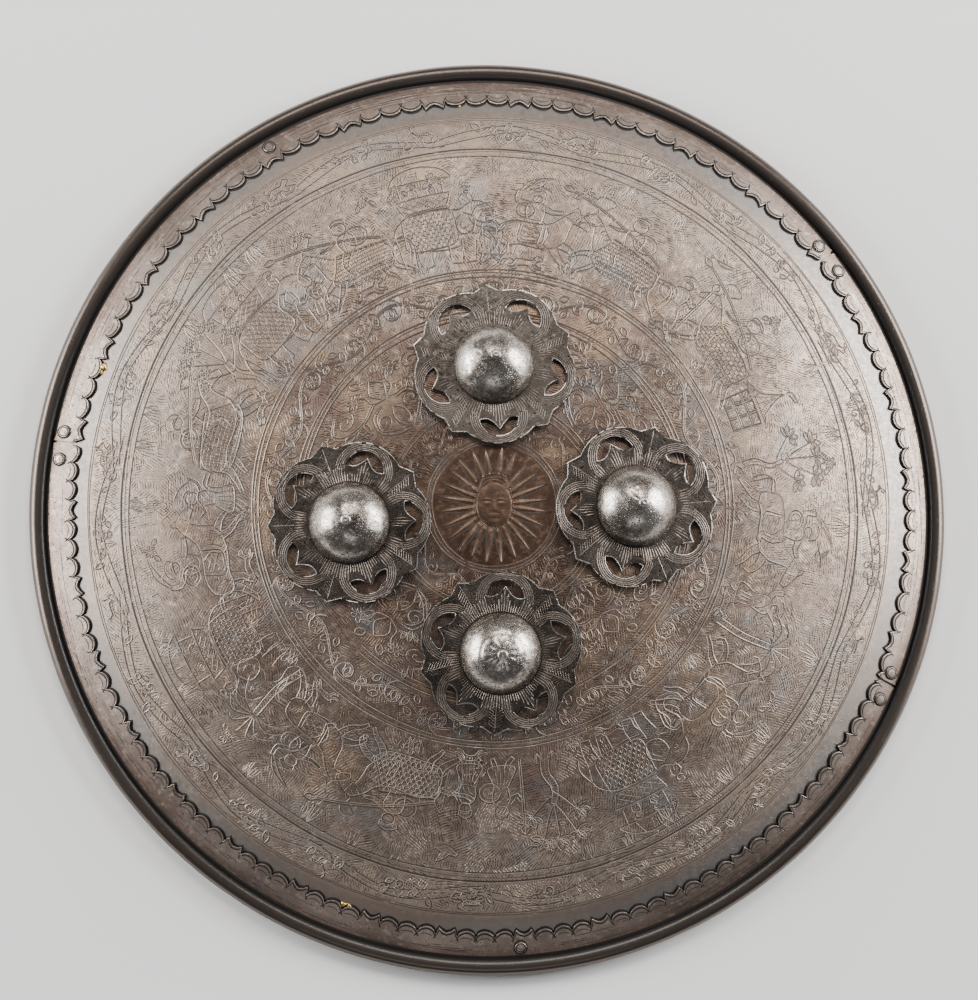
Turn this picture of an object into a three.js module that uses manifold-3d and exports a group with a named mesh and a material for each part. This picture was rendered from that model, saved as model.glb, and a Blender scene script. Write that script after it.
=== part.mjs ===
// A round steel shield: a forged dome with a rolled rim, a riveted border in three lengths with a
// scalloped inner edge, and four hollow bosses riveted on pierced five-lobed rosettes.
// Millimetres, +Z up. The shield lies on its rim, face up, and the origin is the centre of the
// circle that the rim rests on. +Y is the shield's top when it is carried.
import * as THREE from 'three';
import { mergeVertices } from 'three/addons/utils/BufferGeometryUtils.js';
import Module from 'manifold-3d';

const wasm = await Module();
wasm.setup();

// ---- Driving dimensions -------------------------------------------------------------------------

const shieldRadius = 230;
const plateThickness = 1.6;
const plateSides = 56; // flat facets round the plate
const domeRise = 58; // from the dome's edge at the roll up to its apex
const domePower = 2.3; // over 2, so the middle is flatter than a ball's and the flank steeper
const fitGap = 0.3; // between two pieces that touch

const roll = {
  radius: 4.3, // half the rolled rim's thickness
  groundFlat: 0.3, // how much of its underside is hammered flat
  meetsFace: 173, // degrees round the roll where the dome's face runs into it
  meetsBack: 196, // and where the dome's back does
  steps: 7,
};

const border = {
  thickness: 1.0,
  bevel: 0.5, // along its outer edge, under the roll
  outerRadius: 221.0,
  cuspRadius: 211.2, // between two scallops
  scallopRadius: 208.2, // the deepest point of a scallop
  tailRadius: 207.8, // the two points of a fishtail
  notchRadius: 210.0, // between those points
  offCentre: 1.3, // how far the inner edge's middle lies towards +X
  scallops: 3, // scallops in one repeat, before its fishtail
  scallopSteps: 3,
  tailShare: 0.27, // a fishtail's share of the repeat
  tailPoint: 0.12, // where its first point lies, as a share of the fishtail
  jointGap: 0.35, // degrees left open between two lengths
};
// Degrees round the shield; phase is the share of a repeat that a length begins with cut away.
const borderLengths = [
  { name: 'border_right', start: -22.3, end: 38, pitch: 11.2, phase: 0.39, rivets: [-20.9, 35.5] },
  {
    name: 'border_top',
    start: 38,
    end: 170.3,
    pitch: 11.8,
    phase: 0.82,
    rivets: [39.7, 120.6, 168.9],
  },
  {
    name: 'border_bottom',
    start: 170.3,
    end: 337.7,
    pitch: 10.6,
    phase: 0,
    rivets: [172.6, 274.3, 335.3],
  },
];

const borderRivet = { ring: 216, head: 3, headHeight: 0.6, shank: 1.5, sides: 8 };

const rosette = {
  thickness: 1.2,
  lobes: 5,
  lobeReach: 41, // from the middle to the far side of a lobe
  lobeRadius: 23,
  lobeHalfAngle: 26, // degrees from a lobe's middle to its notches
  cuspReach: 41, // the point between two lobes
  lobeSteps: 5,
};
const crescent = {
  reach: 37, // far side of a piercing
  radius: 9.8,
  tipAngle: 84, // degrees from its middle to its tips, round its own centre
  spikeReach: 33.6, // the spike that stands in it
  scoopDepth: 2.4, // how far each scoop bulges towards the boss
  arcSteps: 6,
  scoopSteps: 3,
};

const boss = {
  radius: 20.2,
  height: 16.5,
  shoulder: 1.7, // exponents of the outline: rounded at the foot, nearly a cone at the top
  crown: 0.62,
  wall: 1.3,
  sides: 16,
};
// Where each boss sits from the shield's middle, and which way one of its rosette's lobes points.
const bossSeats = [
  { name: 'right', distance: 71, angle: 0.2, lobe: 185 },
  { name: 'top', distance: 71, angle: 90, lobe: 275 },
  { name: 'left', distance: 72.4, angle: 187.1, lobe: 2 },
  { name: 'bottom', distance: 73.5, angle: 272.6, lobe: 86 },
];
const bossRivet = {
  shank: 1.6,
  button: 2.7,
  buttonHeight: 2.4,
  peen: 4.6,
  peenHeight: 1.8,
  chamfer: 0.6,
  sides: 10,
};

// ---- The dome's outline, shared by all that sits on it -------------------------------------------

const rad = THREE.MathUtils.degToRad;
const rollCentre = { r: shieldRadius - roll.radius, z: roll.radius - roll.groundFlat };
const onRoll = (degrees) =>
  new THREE.Vector2(
    rollCentre.r + roll.radius * Math.cos(rad(degrees)),
    rollCentre.z + roll.radius * Math.sin(rad(degrees)),
  );
const domeEdge = onRoll(roll.meetsFace);

const domeHeight = (r) => domeEdge.y + domeRise * (1 - (r / domeEdge.x) ** domePower);
const domeSlope = (r) =>
  -((domeRise * domePower) / domeEdge.x) * (r / domeEdge.x) ** (domePower - 1);

// The point that stands off the dome's face by an offset, square to the face.
function offDome(r, offset) {
  const slope = domeSlope(r);
  const length = Math.hypot(1, slope);
  return new THREE.Vector2(r - (slope * offset) / length, domeHeight(r) + offset / length);
}

// A group whose +Z is square to the face at that place, and whose +X runs away from the middle.
function seatOn(r, degrees) {
  const seat = new THREE.Group();
  const foot = offDome(r, 0);
  seat.position.set(foot.x * Math.cos(rad(degrees)), foot.x * Math.sin(rad(degrees)), foot.y);
  seat.rotation.set(0, Math.atan(-domeSlope(r)), rad(degrees), 'ZYX');
  seat.updateMatrixWorld(true);
  return seat;
}

// ---- Small tools ----------------------------------------------------------------------------------

const steel = (color, roughness, metalness = 0.85) =>
  new THREE.MeshStandardMaterial({ color, roughness, metalness });
const plateSteel = steel(0x6f6259, 0.5);
const borderSteel = steel(0x7b6f68, 0.5);
const rosetteSteel = steel(0x474744, 0.55);
const bossSteel = steel(0xa8a29a, 0.35, 0.95);

// Turns a profile of (radius, height) points round +Z.
function turned(points, sides) {
  return new THREE.LatheGeometry(points, sides).rotateX(Math.PI / 2);
}

function solidOf(geometry, matrix = new THREE.Matrix4()) {
  const bare = new THREE.BufferGeometry();
  bare.setAttribute('position', geometry.getAttribute('position').clone());
  if (geometry.index) bare.setIndex(geometry.index.clone());
  const merged = mergeVertices(bare.applyMatrix4(matrix), 1e-3);
  return new wasm.Manifold(
    new wasm.Mesh({
      numProp: 3,
      vertProperties: new Float32Array(merged.attributes.position.array),
      triVerts: new Uint32Array(merged.index.array),
    }),
  );
}

function geometryOf(solid) {
  const mesh = solid.getMesh();
  const geometry = new THREE.BufferGeometry();
  geometry.setAttribute('position', new THREE.BufferAttribute(mesh.vertProperties, 3));
  geometry.setIndex(new THREE.BufferAttribute(mesh.triVerts, 1));
  return geometry;
}

function named(name, geometry, material) {
  const mesh = new THREE.Mesh(geometry, material);
  mesh.name = name;
  return mesh;
}

// A straight drill through the sheet, along a seat's own +Z.
function drill(radius, seat) {
  const length = 16;
  const bit = new THREE.CylinderGeometry(radius, radius, length, 8).rotateX(Math.PI / 2);
  return solidOf(bit, seat.matrixWorld);
}

// ---- The forged plate with its rolled rim -----------------------------------------------------------

function plateProfile() {
  const faceStops = [0, 30, 60, 84, 112, 140, 165, 187, 205];
  const backStops = [207, 184, 156, 124, 84, 62, 30, 0];
  const face = faceStops.map((r) => offDome(r, 0));
  const back = backStops.map((r) => offDome(r, -plateThickness));
  face[0].x = 0;
  back.at(-1).x = 0;

  // Over the top of the roll and down its outer side to the flat, which runs back to its inner side.
  const flatHalfAngle = THREE.MathUtils.radToDeg(Math.acos(rollCentre.z / roll.radius));
  const flatStart = -90 + flatHalfAngle;
  const flatEnd = 270 - flatHalfAngle;
  const over = [];
  for (let i = 0; i <= roll.steps; i++) {
    over.push(onRoll(roll.meetsFace + ((flatStart - roll.meetsFace) * i) / roll.steps));
  }
  const under = [onRoll(flatEnd), onRoll((flatEnd + roll.meetsBack) / 2), onRoll(roll.meetsBack)];
  over.at(-1).y = 0;
  under[0].y = 0;
  return [...face, ...over, ...under, ...back];
}

function shieldPlate(rivetSeats, bossGroups) {
  let solid = solidOf(turned(plateProfile().reverse(), plateSides));
  for (const seat of rivetSeats) solid = solid.subtract(drill(borderRivet.shank + fitGap, seat));
  for (const seat of bossGroups) solid = solid.subtract(drill(bossRivet.shank + fitGap, seat));
  return named('shield_plate', geometryOf(solid), plateSteel);
}

// ---- The border -------------------------------------------------------------------------------------

// The inner edge over one repeat, as pairs of share of the repeat and radius.
function borderRepeat() {
  const edge = [];
  const scallopShare = (1 - border.tailShare) / border.scallops;
  for (let scallop = 0; scallop < border.scallops; scallop++) {
    for (let step = 0; step < border.scallopSteps; step++) {
      const along = step / border.scallopSteps;
      const bulge = Math.sin(Math.PI * along) ** 0.7;
      edge.push({
        share: (scallop + along) * scallopShare,
        radius: border.cuspRadius - (border.cuspRadius - border.scallopRadius) * bulge,
      });
    }
  }
  const tailStart = 1 - border.tailShare;
  const tail = [
    [0, border.cuspRadius],
    [border.tailPoint, border.tailRadius],
    [0.5, border.notchRadius],
    [1 - border.tailPoint, border.tailRadius],
  ];
  for (const [along, radius] of tail) {
    edge.push({ share: tailStart + along * border.tailShare, radius });
  }
  return edge;
}

function borderStations({ start, end, pitch, phase }) {
  const first = start + border.jointGap / 2;
  const last = end - border.jointGap / 2;
  const closest = 0.3; // degrees between an end and the station next to it
  const stations = [{ angle: first, radius: border.cuspRadius }];
  for (let repeat = 0; repeat * pitch < end - start + pitch; repeat++) {
    for (const { share, radius } of borderRepeat()) {
      const angle = start + (repeat + share - phase) * pitch;
      if (angle > first + closest && angle < last - closest) stations.push({ angle, radius });
    }
  }
  stations.push({ angle: last, radius: border.cuspRadius });
  for (const station of stations) station.radius += border.offCentre * Math.cos(rad(station.angle));
  return stations;
}

// Four corners at each station: under and over, at the inner and the outer edge.
function borderStrip(length) {
  const positions = [];
  const faces = [];
  const stations = borderStations(length);
  for (const { angle, radius } of stations) {
    const corners = [
      offDome(radius, fitGap),
      offDome(border.outerRadius - fitGap, fitGap),
      offDome(border.outerRadius - fitGap - border.bevel, fitGap + border.thickness),
      offDome(radius, fitGap + border.thickness),
    ];
    for (const { x, y } of corners) {
      positions.push(x * Math.cos(rad(angle)), x * Math.sin(rad(angle)), y);
    }
  }
  const quad = (a, b, c, d) => faces.push(a, b, c, a, c, d);
  for (let i = 0; i < stations.length - 1; i++) {
    for (let side = 0; side < 4; side++) {
      const here = 4 * i;
      const next = 4 * (i + 1);
      const other = (side + 1) % 4;
      quad(here + side, next + side, next + other, here + other);
    }
  }
  const tip = 4 * (stations.length - 1);
  quad(0, 1, 2, 3);
  quad(tip + 3, tip + 2, tip + 1, tip);
  const geometry = new THREE.BufferGeometry();
  geometry.setAttribute('position', new THREE.Float32BufferAttribute(positions, 3));
  geometry.setIndex(faces);
  return geometry;
}

function borderPiece(length, rivetSeats) {
  let solid = solidOf(borderStrip(length));
  for (const seat of rivetSeats) solid = solid.subtract(drill(borderRivet.shank + fitGap, seat));
  return named(length.name, geometryOf(solid), borderSteel);
}

// A flat-headed rivet through border and plate, closed over on the back.
function borderRivetGeometry() {
  const { head, headHeight, shank, sides } = borderRivet;
  const headFoot = fitGap + border.thickness + fitGap;
  const backFoot = -(plateThickness + fitGap);
  const profile = [
    [0, backFoot - headHeight],
    [head * 0.75, backFoot - headHeight],
    [head * 0.85, backFoot],
    [shank, backFoot],
    [shank, headFoot],
    [head, headFoot],
    [head * 0.82, headFoot + headHeight],
    [0, headFoot + headHeight],
  ].map(([x, y]) => new THREE.Vector2(x, y));
  return turned(profile, sides);
}

// ---- The rosettes ------------------------------------------------------------------------------------

function rosetteOutline() {
  const shape = new THREE.Shape();
  const lobeCentre = rosette.lobeReach - rosette.lobeRadius;
  const pitch = 360 / rosette.lobes;
  // Where the ray at the notch's angle meets the lobe's circle.
  const along = lobeCentre * Math.cos(rad(rosette.lobeHalfAngle));
  const aside = lobeCentre * Math.sin(rad(rosette.lobeHalfAngle));
  const notchReach = along + Math.sqrt(rosette.lobeRadius ** 2 - aside ** 2);
  const notchX = notchReach * Math.cos(rad(rosette.lobeHalfAngle)) - lobeCentre;
  const notchY = notchReach * Math.sin(rad(rosette.lobeHalfAngle));
  const sweep = Math.atan2(notchY, notchX);
  const middle = new THREE.Vector2();
  const points = [];
  for (let lobe = 0; lobe < rosette.lobes; lobe++) {
    for (let step = 0; step <= rosette.lobeSteps; step++) {
      const at = -sweep + (2 * sweep * step) / rosette.lobeSteps;
      const point = new THREE.Vector2(
        lobeCentre + rosette.lobeRadius * Math.cos(at),
        rosette.lobeRadius * Math.sin(at),
      );
      points.push(point.rotateAround(middle, rad(lobe * pitch)));
    }
    const cusp = new THREE.Vector2(rosette.cuspReach, 0);
    points.push(cusp.rotateAround(middle, rad((lobe + 0.5) * pitch)));
  }
  shape.setFromPoints(points);
  return shape;
}

// One piercing: a round far side, and two scoops that meet in a spike on the side of the boss.
function crescentHole(turnDegrees) {
  const centre = crescent.reach - crescent.radius;
  const points = [];
  for (let step = 0; step <= crescent.arcSteps; step++) {
    const at = rad(-crescent.tipAngle + (2 * crescent.tipAngle * step) / crescent.arcSteps);
    points.push(
      new THREE.Vector2(
        centre + crescent.radius * Math.cos(at),
        crescent.radius * Math.sin(at),
      ),
    );
  }
  const tip = points.at(-1);
  const spike = new THREE.Vector2(crescent.spikeReach, 0);
  const scoop = [];
  for (let step = 1; step < crescent.scoopSteps; step++) {
    const share = step / crescent.scoopSteps;
    const point = tip.clone().lerp(spike, share);
    point.x -= crescent.scoopDepth * Math.sin(Math.PI * share);
    scoop.push(point);
  }
  const mirrored = scoop.map(({ x, y }) => new THREE.Vector2(x, -y)).reverse();
  const middle = new THREE.Vector2();
  return new THREE.Path(
    [...points, ...scoop, spike, ...mirrored].map((point) =>
      point.rotateAround(middle, rad(turnDegrees)),
    ),
  );
}

function rosetteGeometry() {
  const shape = rosetteOutline();
  for (let lobe = 0; lobe < rosette.lobes; lobe++) {
    shape.holes.push(crescentHole((lobe * 360) / rosette.lobes));
  }
  const bore = new THREE.Path();
  bore.absarc(0, 0, bossRivet.shank + fitGap, 0, 2 * Math.PI, true);
  shape.holes.push(bore);
  return new THREE.ExtrudeGeometry(shape, {
    depth: rosette.thickness,
    bevelEnabled: false,
    curveSegments: 8,
  });
}

// ---- The bosses and their rivets -----------------------------------------------------------------------

const bossFoot = fitGap + rosette.thickness + fitGap;
const bossTop = (r) => boss.height * (1 - (r / boss.radius) ** boss.shoulder) ** boss.crown;

function bossGeometry() {
  const bore = bossRivet.shank + fitGap;
  const outerShares = [1, 0.985, 0.93, 0.8, 0.6, 0.36];
  const innerShares = [0.45, 0.76, 0.92];
  const outer = outerShares.map((share) => {
    const r = share * boss.radius;
    return new THREE.Vector2(r, bossFoot + (share === 1 ? 0 : bossTop(r)));
  });
  const inner = innerShares.map((share) => {
    const r = share * boss.radius;
    return new THREE.Vector2(r, bossFoot + bossTop(r) - boss.wall * (1 + share ** 4));
  });
  const profile = [
    ...outer,
    new THREE.Vector2(bore, bossFoot + bossTop(bore)),
    new THREE.Vector2(bore, bossFoot + bossTop(bore) - boss.wall),
    ...inner,
    new THREE.Vector2(boss.radius - boss.wall, bossFoot),
    outer[0].clone(),
  ];
  return turned(profile, boss.sides);
}

function bossRivetGeometry() {
  const { shank, button, buttonHeight, peen, peenHeight, chamfer, sides } = bossRivet;
  const buttonFoot = bossFoot + bossTop(0) + fitGap;
  const peenFoot = -(plateThickness + fitGap);
  const profile = [
    [0, peenFoot - peenHeight],
    [peen - chamfer, peenFoot - peenHeight],
    [peen, peenFoot - peenHeight + chamfer],
    [peen, peenFoot],
    [shank, peenFoot],
    [shank, buttonFoot],
    [button, buttonFoot],
    [button, buttonFoot + buttonHeight * 0.5],
    [button * 0.6, buttonFoot + buttonHeight],
    [0, buttonFoot + buttonHeight],
  ].map(([x, y]) => new THREE.Vector2(x, y));
  return turned(profile, sides);
}

// ---- The whole shield ------------------------------------------------------------------------------------

const shield = new THREE.Group();
shield.name = 'shield';

const rivetAngles = borderLengths.flatMap(({ rivets }) => rivets);
const rivetSeats = rivetAngles.map((angle) => seatOn(borderRivet.ring, angle));
rivetSeats.forEach((seat, i) => {
  seat.add(named(`border_rivet_${i + 1}`, borderRivetGeometry(), borderSteel));
  shield.add(seat);
});

const bossGroups = bossSeats.map(({ distance, angle }) => seatOn(distance, angle));
bossGroups.forEach((seat, i) => {
  const { name, angle, lobe } = bossSeats[i];
  const plate = named(`rosette_${name}`, rosetteGeometry(), rosetteSteel);
  plate.position.z = fitGap;
  plate.rotation.z = rad(lobe - angle);
  seat.add(plate);
  seat.add(named(`boss_${name}`, bossGeometry(), bossSteel));
  seat.add(named(`boss_rivet_${name}`, bossRivetGeometry(), bossSteel));
  shield.add(seat);
});

shield.add(shieldPlate(rivetSeats, bossGroups));
for (const length of borderLengths) shield.add(borderPiece(length, rivetSeats));

export default shield;
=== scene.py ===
import math

import bpy
import numpy as np
from mathutils import Matrix, Vector
from mathutils.geometry import delaunay_2d_cdt


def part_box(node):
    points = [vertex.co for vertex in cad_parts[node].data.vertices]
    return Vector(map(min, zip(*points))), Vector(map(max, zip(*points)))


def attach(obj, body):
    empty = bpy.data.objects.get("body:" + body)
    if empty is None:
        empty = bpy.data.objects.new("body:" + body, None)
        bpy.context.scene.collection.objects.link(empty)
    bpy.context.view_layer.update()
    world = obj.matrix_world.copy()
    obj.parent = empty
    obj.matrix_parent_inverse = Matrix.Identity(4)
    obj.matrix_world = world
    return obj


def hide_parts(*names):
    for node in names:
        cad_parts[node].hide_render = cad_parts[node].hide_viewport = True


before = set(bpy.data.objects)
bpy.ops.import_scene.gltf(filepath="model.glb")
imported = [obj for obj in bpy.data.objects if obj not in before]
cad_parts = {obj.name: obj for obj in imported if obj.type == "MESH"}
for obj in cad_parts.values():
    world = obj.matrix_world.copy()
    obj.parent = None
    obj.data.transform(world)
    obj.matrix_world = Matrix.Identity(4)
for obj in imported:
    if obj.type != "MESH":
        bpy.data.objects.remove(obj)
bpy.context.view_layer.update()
print("frame loaded:", len(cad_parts), "nodes")

dice = np.random.default_rng(41)
mm = 0.001  # shapes are drawn in millimetres and become metres in makeMesh
fitGap = 0.3  # clearance between the loose parts

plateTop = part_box("shield_plate")[1] / mm
plate = {
    "radius": plateTop.x,
    "apex": plateTop.z,
    "thickness": 1.6,
    "domePower": 2.3,  # 2 would be a plain bowl; more makes a flatter crown
    "rollRadius": 4.3,
    "rollFlat": 0.3,
    "rollStart": 173,  # degrees round the roll where the face runs into it
    "rollEnd": 196,
    "hammerDepth": 0.10,
    "hammerWaves": 18,
    "shortestWave": 16,
    "longestWave": 85,
    "columns": 540,
    "seam": {"at": 20, "width": 4.5, "depth": 0.4},  # the turned edge's lip on the roll
}

rollX = plate["radius"] - plate["rollRadius"]
rollZ = plate["rollRadius"] - plate["rollFlat"]
edgeX = rollX + plate["rollRadius"] * math.cos(math.radians(plate["rollStart"]))
edgeZ = rollZ + plate["rollRadius"] * math.sin(math.radians(plate["rollStart"]))
domeRise = plate["apex"] - edgeZ


def domeHeight(r):
    return edgeZ + domeRise * (1 - (np.minimum(r, edgeX) / edgeX) ** plate["domePower"])


def domeSlope(r):
    power = plate["domePower"]
    return -domeRise * power / edgeX * (np.maximum(r, 1e-6) / edgeX) ** (power - 1)


# the unevenness of hammered work, as long waves that cross
waveAngle = dice.uniform(0, 2 * math.pi, plate["hammerWaves"])
waveLength = dice.uniform(plate["shortestWave"], plate["longestWave"], plate["hammerWaves"])
waveStart = dice.uniform(0, 2 * math.pi, plate["hammerWaves"])


def hammered(x, y):
    total = np.zeros_like(x)
    for turn, length, start in zip(waveAngle, waveLength, waveStart):
        along = x * math.cos(turn) + y * math.sin(turn)
        total += np.sin(along * 2 * math.pi / length + start)
    fade = np.clip((206 - np.hypot(x, y)) / 12, 0, 1)
    return total * plate["hammerDepth"] * fade / math.sqrt(plate["hammerWaves"] / 2)


def offDome(x, y, h):
    # the point that stands h square off the smooth dome
    r = np.hypot(x, y)
    slope = domeSlope(r)
    length = np.sqrt(1 + slope * slope)
    outward = -slope * h / length / np.maximum(r, 1e-6)
    return np.stack([x * (1 + outward), y * (1 + outward), domeHeight(r) + h / length], axis=-1)


def onPlate(xy, h):
    return offDome(xy[:, 0], xy[:, 1], h + hammered(xy[:, 0], xy[:, 1]))


def polar(r, degrees):
    turn = np.radians(degrees)
    return np.stack([r * np.cos(turn), r * np.sin(turn)], axis=-1)


def seatOn(r, degrees, spin=0.0):
    # a place on the dome: its origin, and axes with z square to the face and x away from the middle
    slope = float(domeSlope(r))
    turn = math.radians(degrees)
    across = np.array([-math.sin(turn), math.cos(turn), 0.0])
    out = np.array([math.cos(turn), math.sin(turn), slope]) / math.hypot(1, slope)
    up = np.array([-slope * math.cos(turn), -slope * math.sin(turn), 1.0]) / math.hypot(1, slope)
    roll = math.radians(spin)
    x = out * math.cos(roll) + across * math.sin(roll)
    y = across * math.cos(roll) - out * math.sin(roll)
    origin = np.array([r * math.cos(turn), r * math.sin(turn), float(domeHeight(r))])
    return origin, x, y, up


def fromSeat(seat, points):
    origin, x, y, up = seat
    return origin + points[:, 0:1] * x + points[:, 1:2] * y + points[:, 2:3] * up


def makeMesh(name, verts, quads, tris, material, sharp=40, smooth=True):
    # verts in millimetres; quads and tris are arrays of vertex numbers
    quads = np.asarray(quads, dtype=np.int32).reshape(-1, 4)
    tris = np.asarray(tris, dtype=np.int32).reshape(-1, 3)
    verts = np.asarray(verts, dtype=np.float32) * mm
    mesh = bpy.data.meshes.new(name)
    mesh.vertices.add(len(verts))
    mesh.vertices.foreach_set("co", verts.ravel())
    corners = np.concatenate([quads.ravel(), tris.ravel()])
    quadStarts = np.arange(len(quads)) * 4
    triStarts = len(quads) * 4 + np.arange(len(tris)) * 3
    starts = np.concatenate([quadStarts, triStarts]).astype(np.int32)
    mesh.loops.add(len(corners))
    mesh.loops.foreach_set("vertex_index", corners)
    mesh.polygons.add(len(starts))
    mesh.polygons.foreach_set("loop_start", starts)
    mesh.update(calc_edges=True)
    mesh.validate()
    if smooth:
        mesh.shade_smooth()
        mesh.set_sharp_from_angle(angle=math.radians(sharp))
    else:
        mesh.shade_flat()
    mesh.materials.append(material)
    piece = bpy.data.objects.new(name, mesh)
    bpy.context.scene.collection.objects.link(piece)
    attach(piece, "root")
    return piece


def gridQuads(rows, columns, wrap=True):
    # quads between rings of vertices numbered ring by ring
    i, j = np.meshgrid(np.arange(rows - 1), np.arange(columns if wrap else columns - 1), indexing="ij")
    nextJ = (j + 1) % columns
    corners = [i * columns + j, (i + 1) * columns + j, (i + 1) * columns + nextJ, i * columns + nextJ]
    return np.stack(corners, axis=-1).reshape(-1, 4)


def turnedMesh(profile, columns, dent=None):
    # a profile of (r, z) points from the top's middle round to the bottom's middle
    profile = np.asarray(profile, dtype=float)
    angles = np.arange(columns) * 2 * math.pi / columns
    r = profile[1:-1, 0:1] + 0 * angles
    z = profile[1:-1, 1:2] + 0 * angles
    if dent is not None:
        r, z = dent(r, z, angles)
    verts = np.stack([r * np.cos(angles), r * np.sin(angles), z], axis=-1).reshape(-1, 3)
    rows = len(profile) - 2
    ends = np.array([[0, 0, profile[0, 1]], [0, 0, profile[-1, 1]]])
    j = np.arange(columns)
    last = (rows - 1) * columns
    top = np.stack([np.full(columns, rows * columns), j, (j + 1) % columns], axis=-1)
    bottom = np.stack([np.full(columns, rows * columns + 1), last + (j + 1) % columns, last + j], axis=-1)
    return np.concatenate([verts, ends]), gridQuads(rows, columns), np.concatenate([top, bottom])


def curve(points, step=1.5, closed=False):
    # a smooth line through the points
    knots = np.asarray(points, dtype=float)
    if closed:
        knots = np.concatenate([knots[-1:], knots, knots[:2]])
    else:
        knots = np.concatenate([2 * knots[:1] - knots[1:2], knots, 2 * knots[-1:] - knots[-2:-1]])
    out = []
    for a, b, c, d in zip(knots, knots[1:], knots[2:], knots[3:]):
        count = max(1, round(float(np.linalg.norm(c - b)) / step))
        t = (np.arange(count) / count)[:, None]
        bend = 2 * a - 5 * b + 4 * c - d
        twist = 3 * b - a - 3 * c + d
        out.append(0.5 * (2 * b + (c - a) * t + bend * t * t + twist * t ** 3))
    out.append(knots[-2:-1])
    return np.concatenate(out)


def straight(a, b, step=2.5):
    a, b = np.asarray(a, float), np.asarray(b, float)
    count = max(1, math.ceil(float(np.linalg.norm(b - a)) / step))
    return a + (b - a) * (np.arange(count + 1) / count)[:, None]


def arc(centre, radius, start, end, step=1.2):
    count = max(3, math.ceil(abs(math.radians(end - start)) * radius / step))
    return np.asarray(centre, float) + polar(radius, np.linspace(start, end, count + 1))


def engrave(name, strokes, surface, material, sunk=0.03):
    # every stroke is (points, width, rise): a low ridge with tapered ends, closed all round
    counts = np.array([len(points) for points, width, rise in strokes])
    points = np.concatenate([points for points, width, rise in strokes])
    first = np.cumsum(counts) - counts
    last = first + counts - 1
    before = np.arange(len(points)) - 1
    before[first] = first
    after = np.arange(len(points)) + 1
    after[last] = last
    along = points[after] - points[before]
    along /= np.maximum(np.linalg.norm(along, axis=1), 1e-9)[:, None]
    side = np.stack([-along[:, 1], along[:, 0]], axis=-1)
    width = np.concatenate([np.broadcast_to(width, len(points)) for points, width, rise in strokes]).copy()
    rise = np.repeat(np.array([rise for points, width, rise in strokes]), counts)
    for end in (first, last):
        width[end] *= 0.4
    # the given width is what shows; the foot is wider, as it is sunk in the surface
    half = side * (width * (1 + sunk / np.maximum(rise, 0.02)))[:, None] / 2
    left = surface(points + half, -sunk)
    right = surface(points - half, -sunk)
    crest = surface(points, rise)
    verts = np.stack([left, right, crest], axis=1).reshape(-1, 3)
    here = np.setdiff1d(np.arange(len(points)), last) * 3
    there = here + 3
    quads = np.concatenate([
        np.stack([here, here + 2, there + 2, there], axis=-1),
        np.stack([here + 1, there + 1, there + 2, here + 2], axis=-1),
        np.stack([here, there, there + 1, here + 1], axis=-1),
    ])
    caps = np.concatenate([
        np.stack([first * 3, first * 3 + 1, first * 3 + 2], axis=-1),
        np.stack([last * 3 + 1, last * 3, last * 3 + 2], axis=-1),
    ])
    piece = makeMesh(name, verts, quads, caps, material, smooth=False)
    print(name, "cut:", len(strokes), "strokes,", len(quads) * 2 + len(caps), "triangles")
    return piece


def distanceOut(nodes, links, place):
    # metres from the shield's middle
    split = nodes.new("ShaderNodeSeparateXYZ")
    links.new(place.outputs["Object"], split.inputs["Vector"])
    flat = nodes.new("ShaderNodeCombineXYZ")
    links.new(split.outputs["X"], flat.inputs["X"])
    links.new(split.outputs["Y"], flat.inputs["Y"])
    distance = nodes.new("ShaderNodeVectorMath")
    distance.operation = "LENGTH"
    links.new(flat.outputs["Vector"], distance.inputs[0])
    return distance.outputs["Value"]


def mixValues(nodes, links, factor, first, second):
    mix = nodes.new("ShaderNodeMix")
    links.new(factor, mix.inputs[0])
    links.new(first, mix.inputs[2])
    mix.inputs[3].default_value = second
    return mix.outputs[0]


def product(nodes, links, first, second):
    times = nodes.new("ShaderNodeMath")
    times.operation = "MULTIPLY"
    links.new(first, times.inputs[0])
    links.new(second, times.inputs[1])
    return times.outputs[0]


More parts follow.
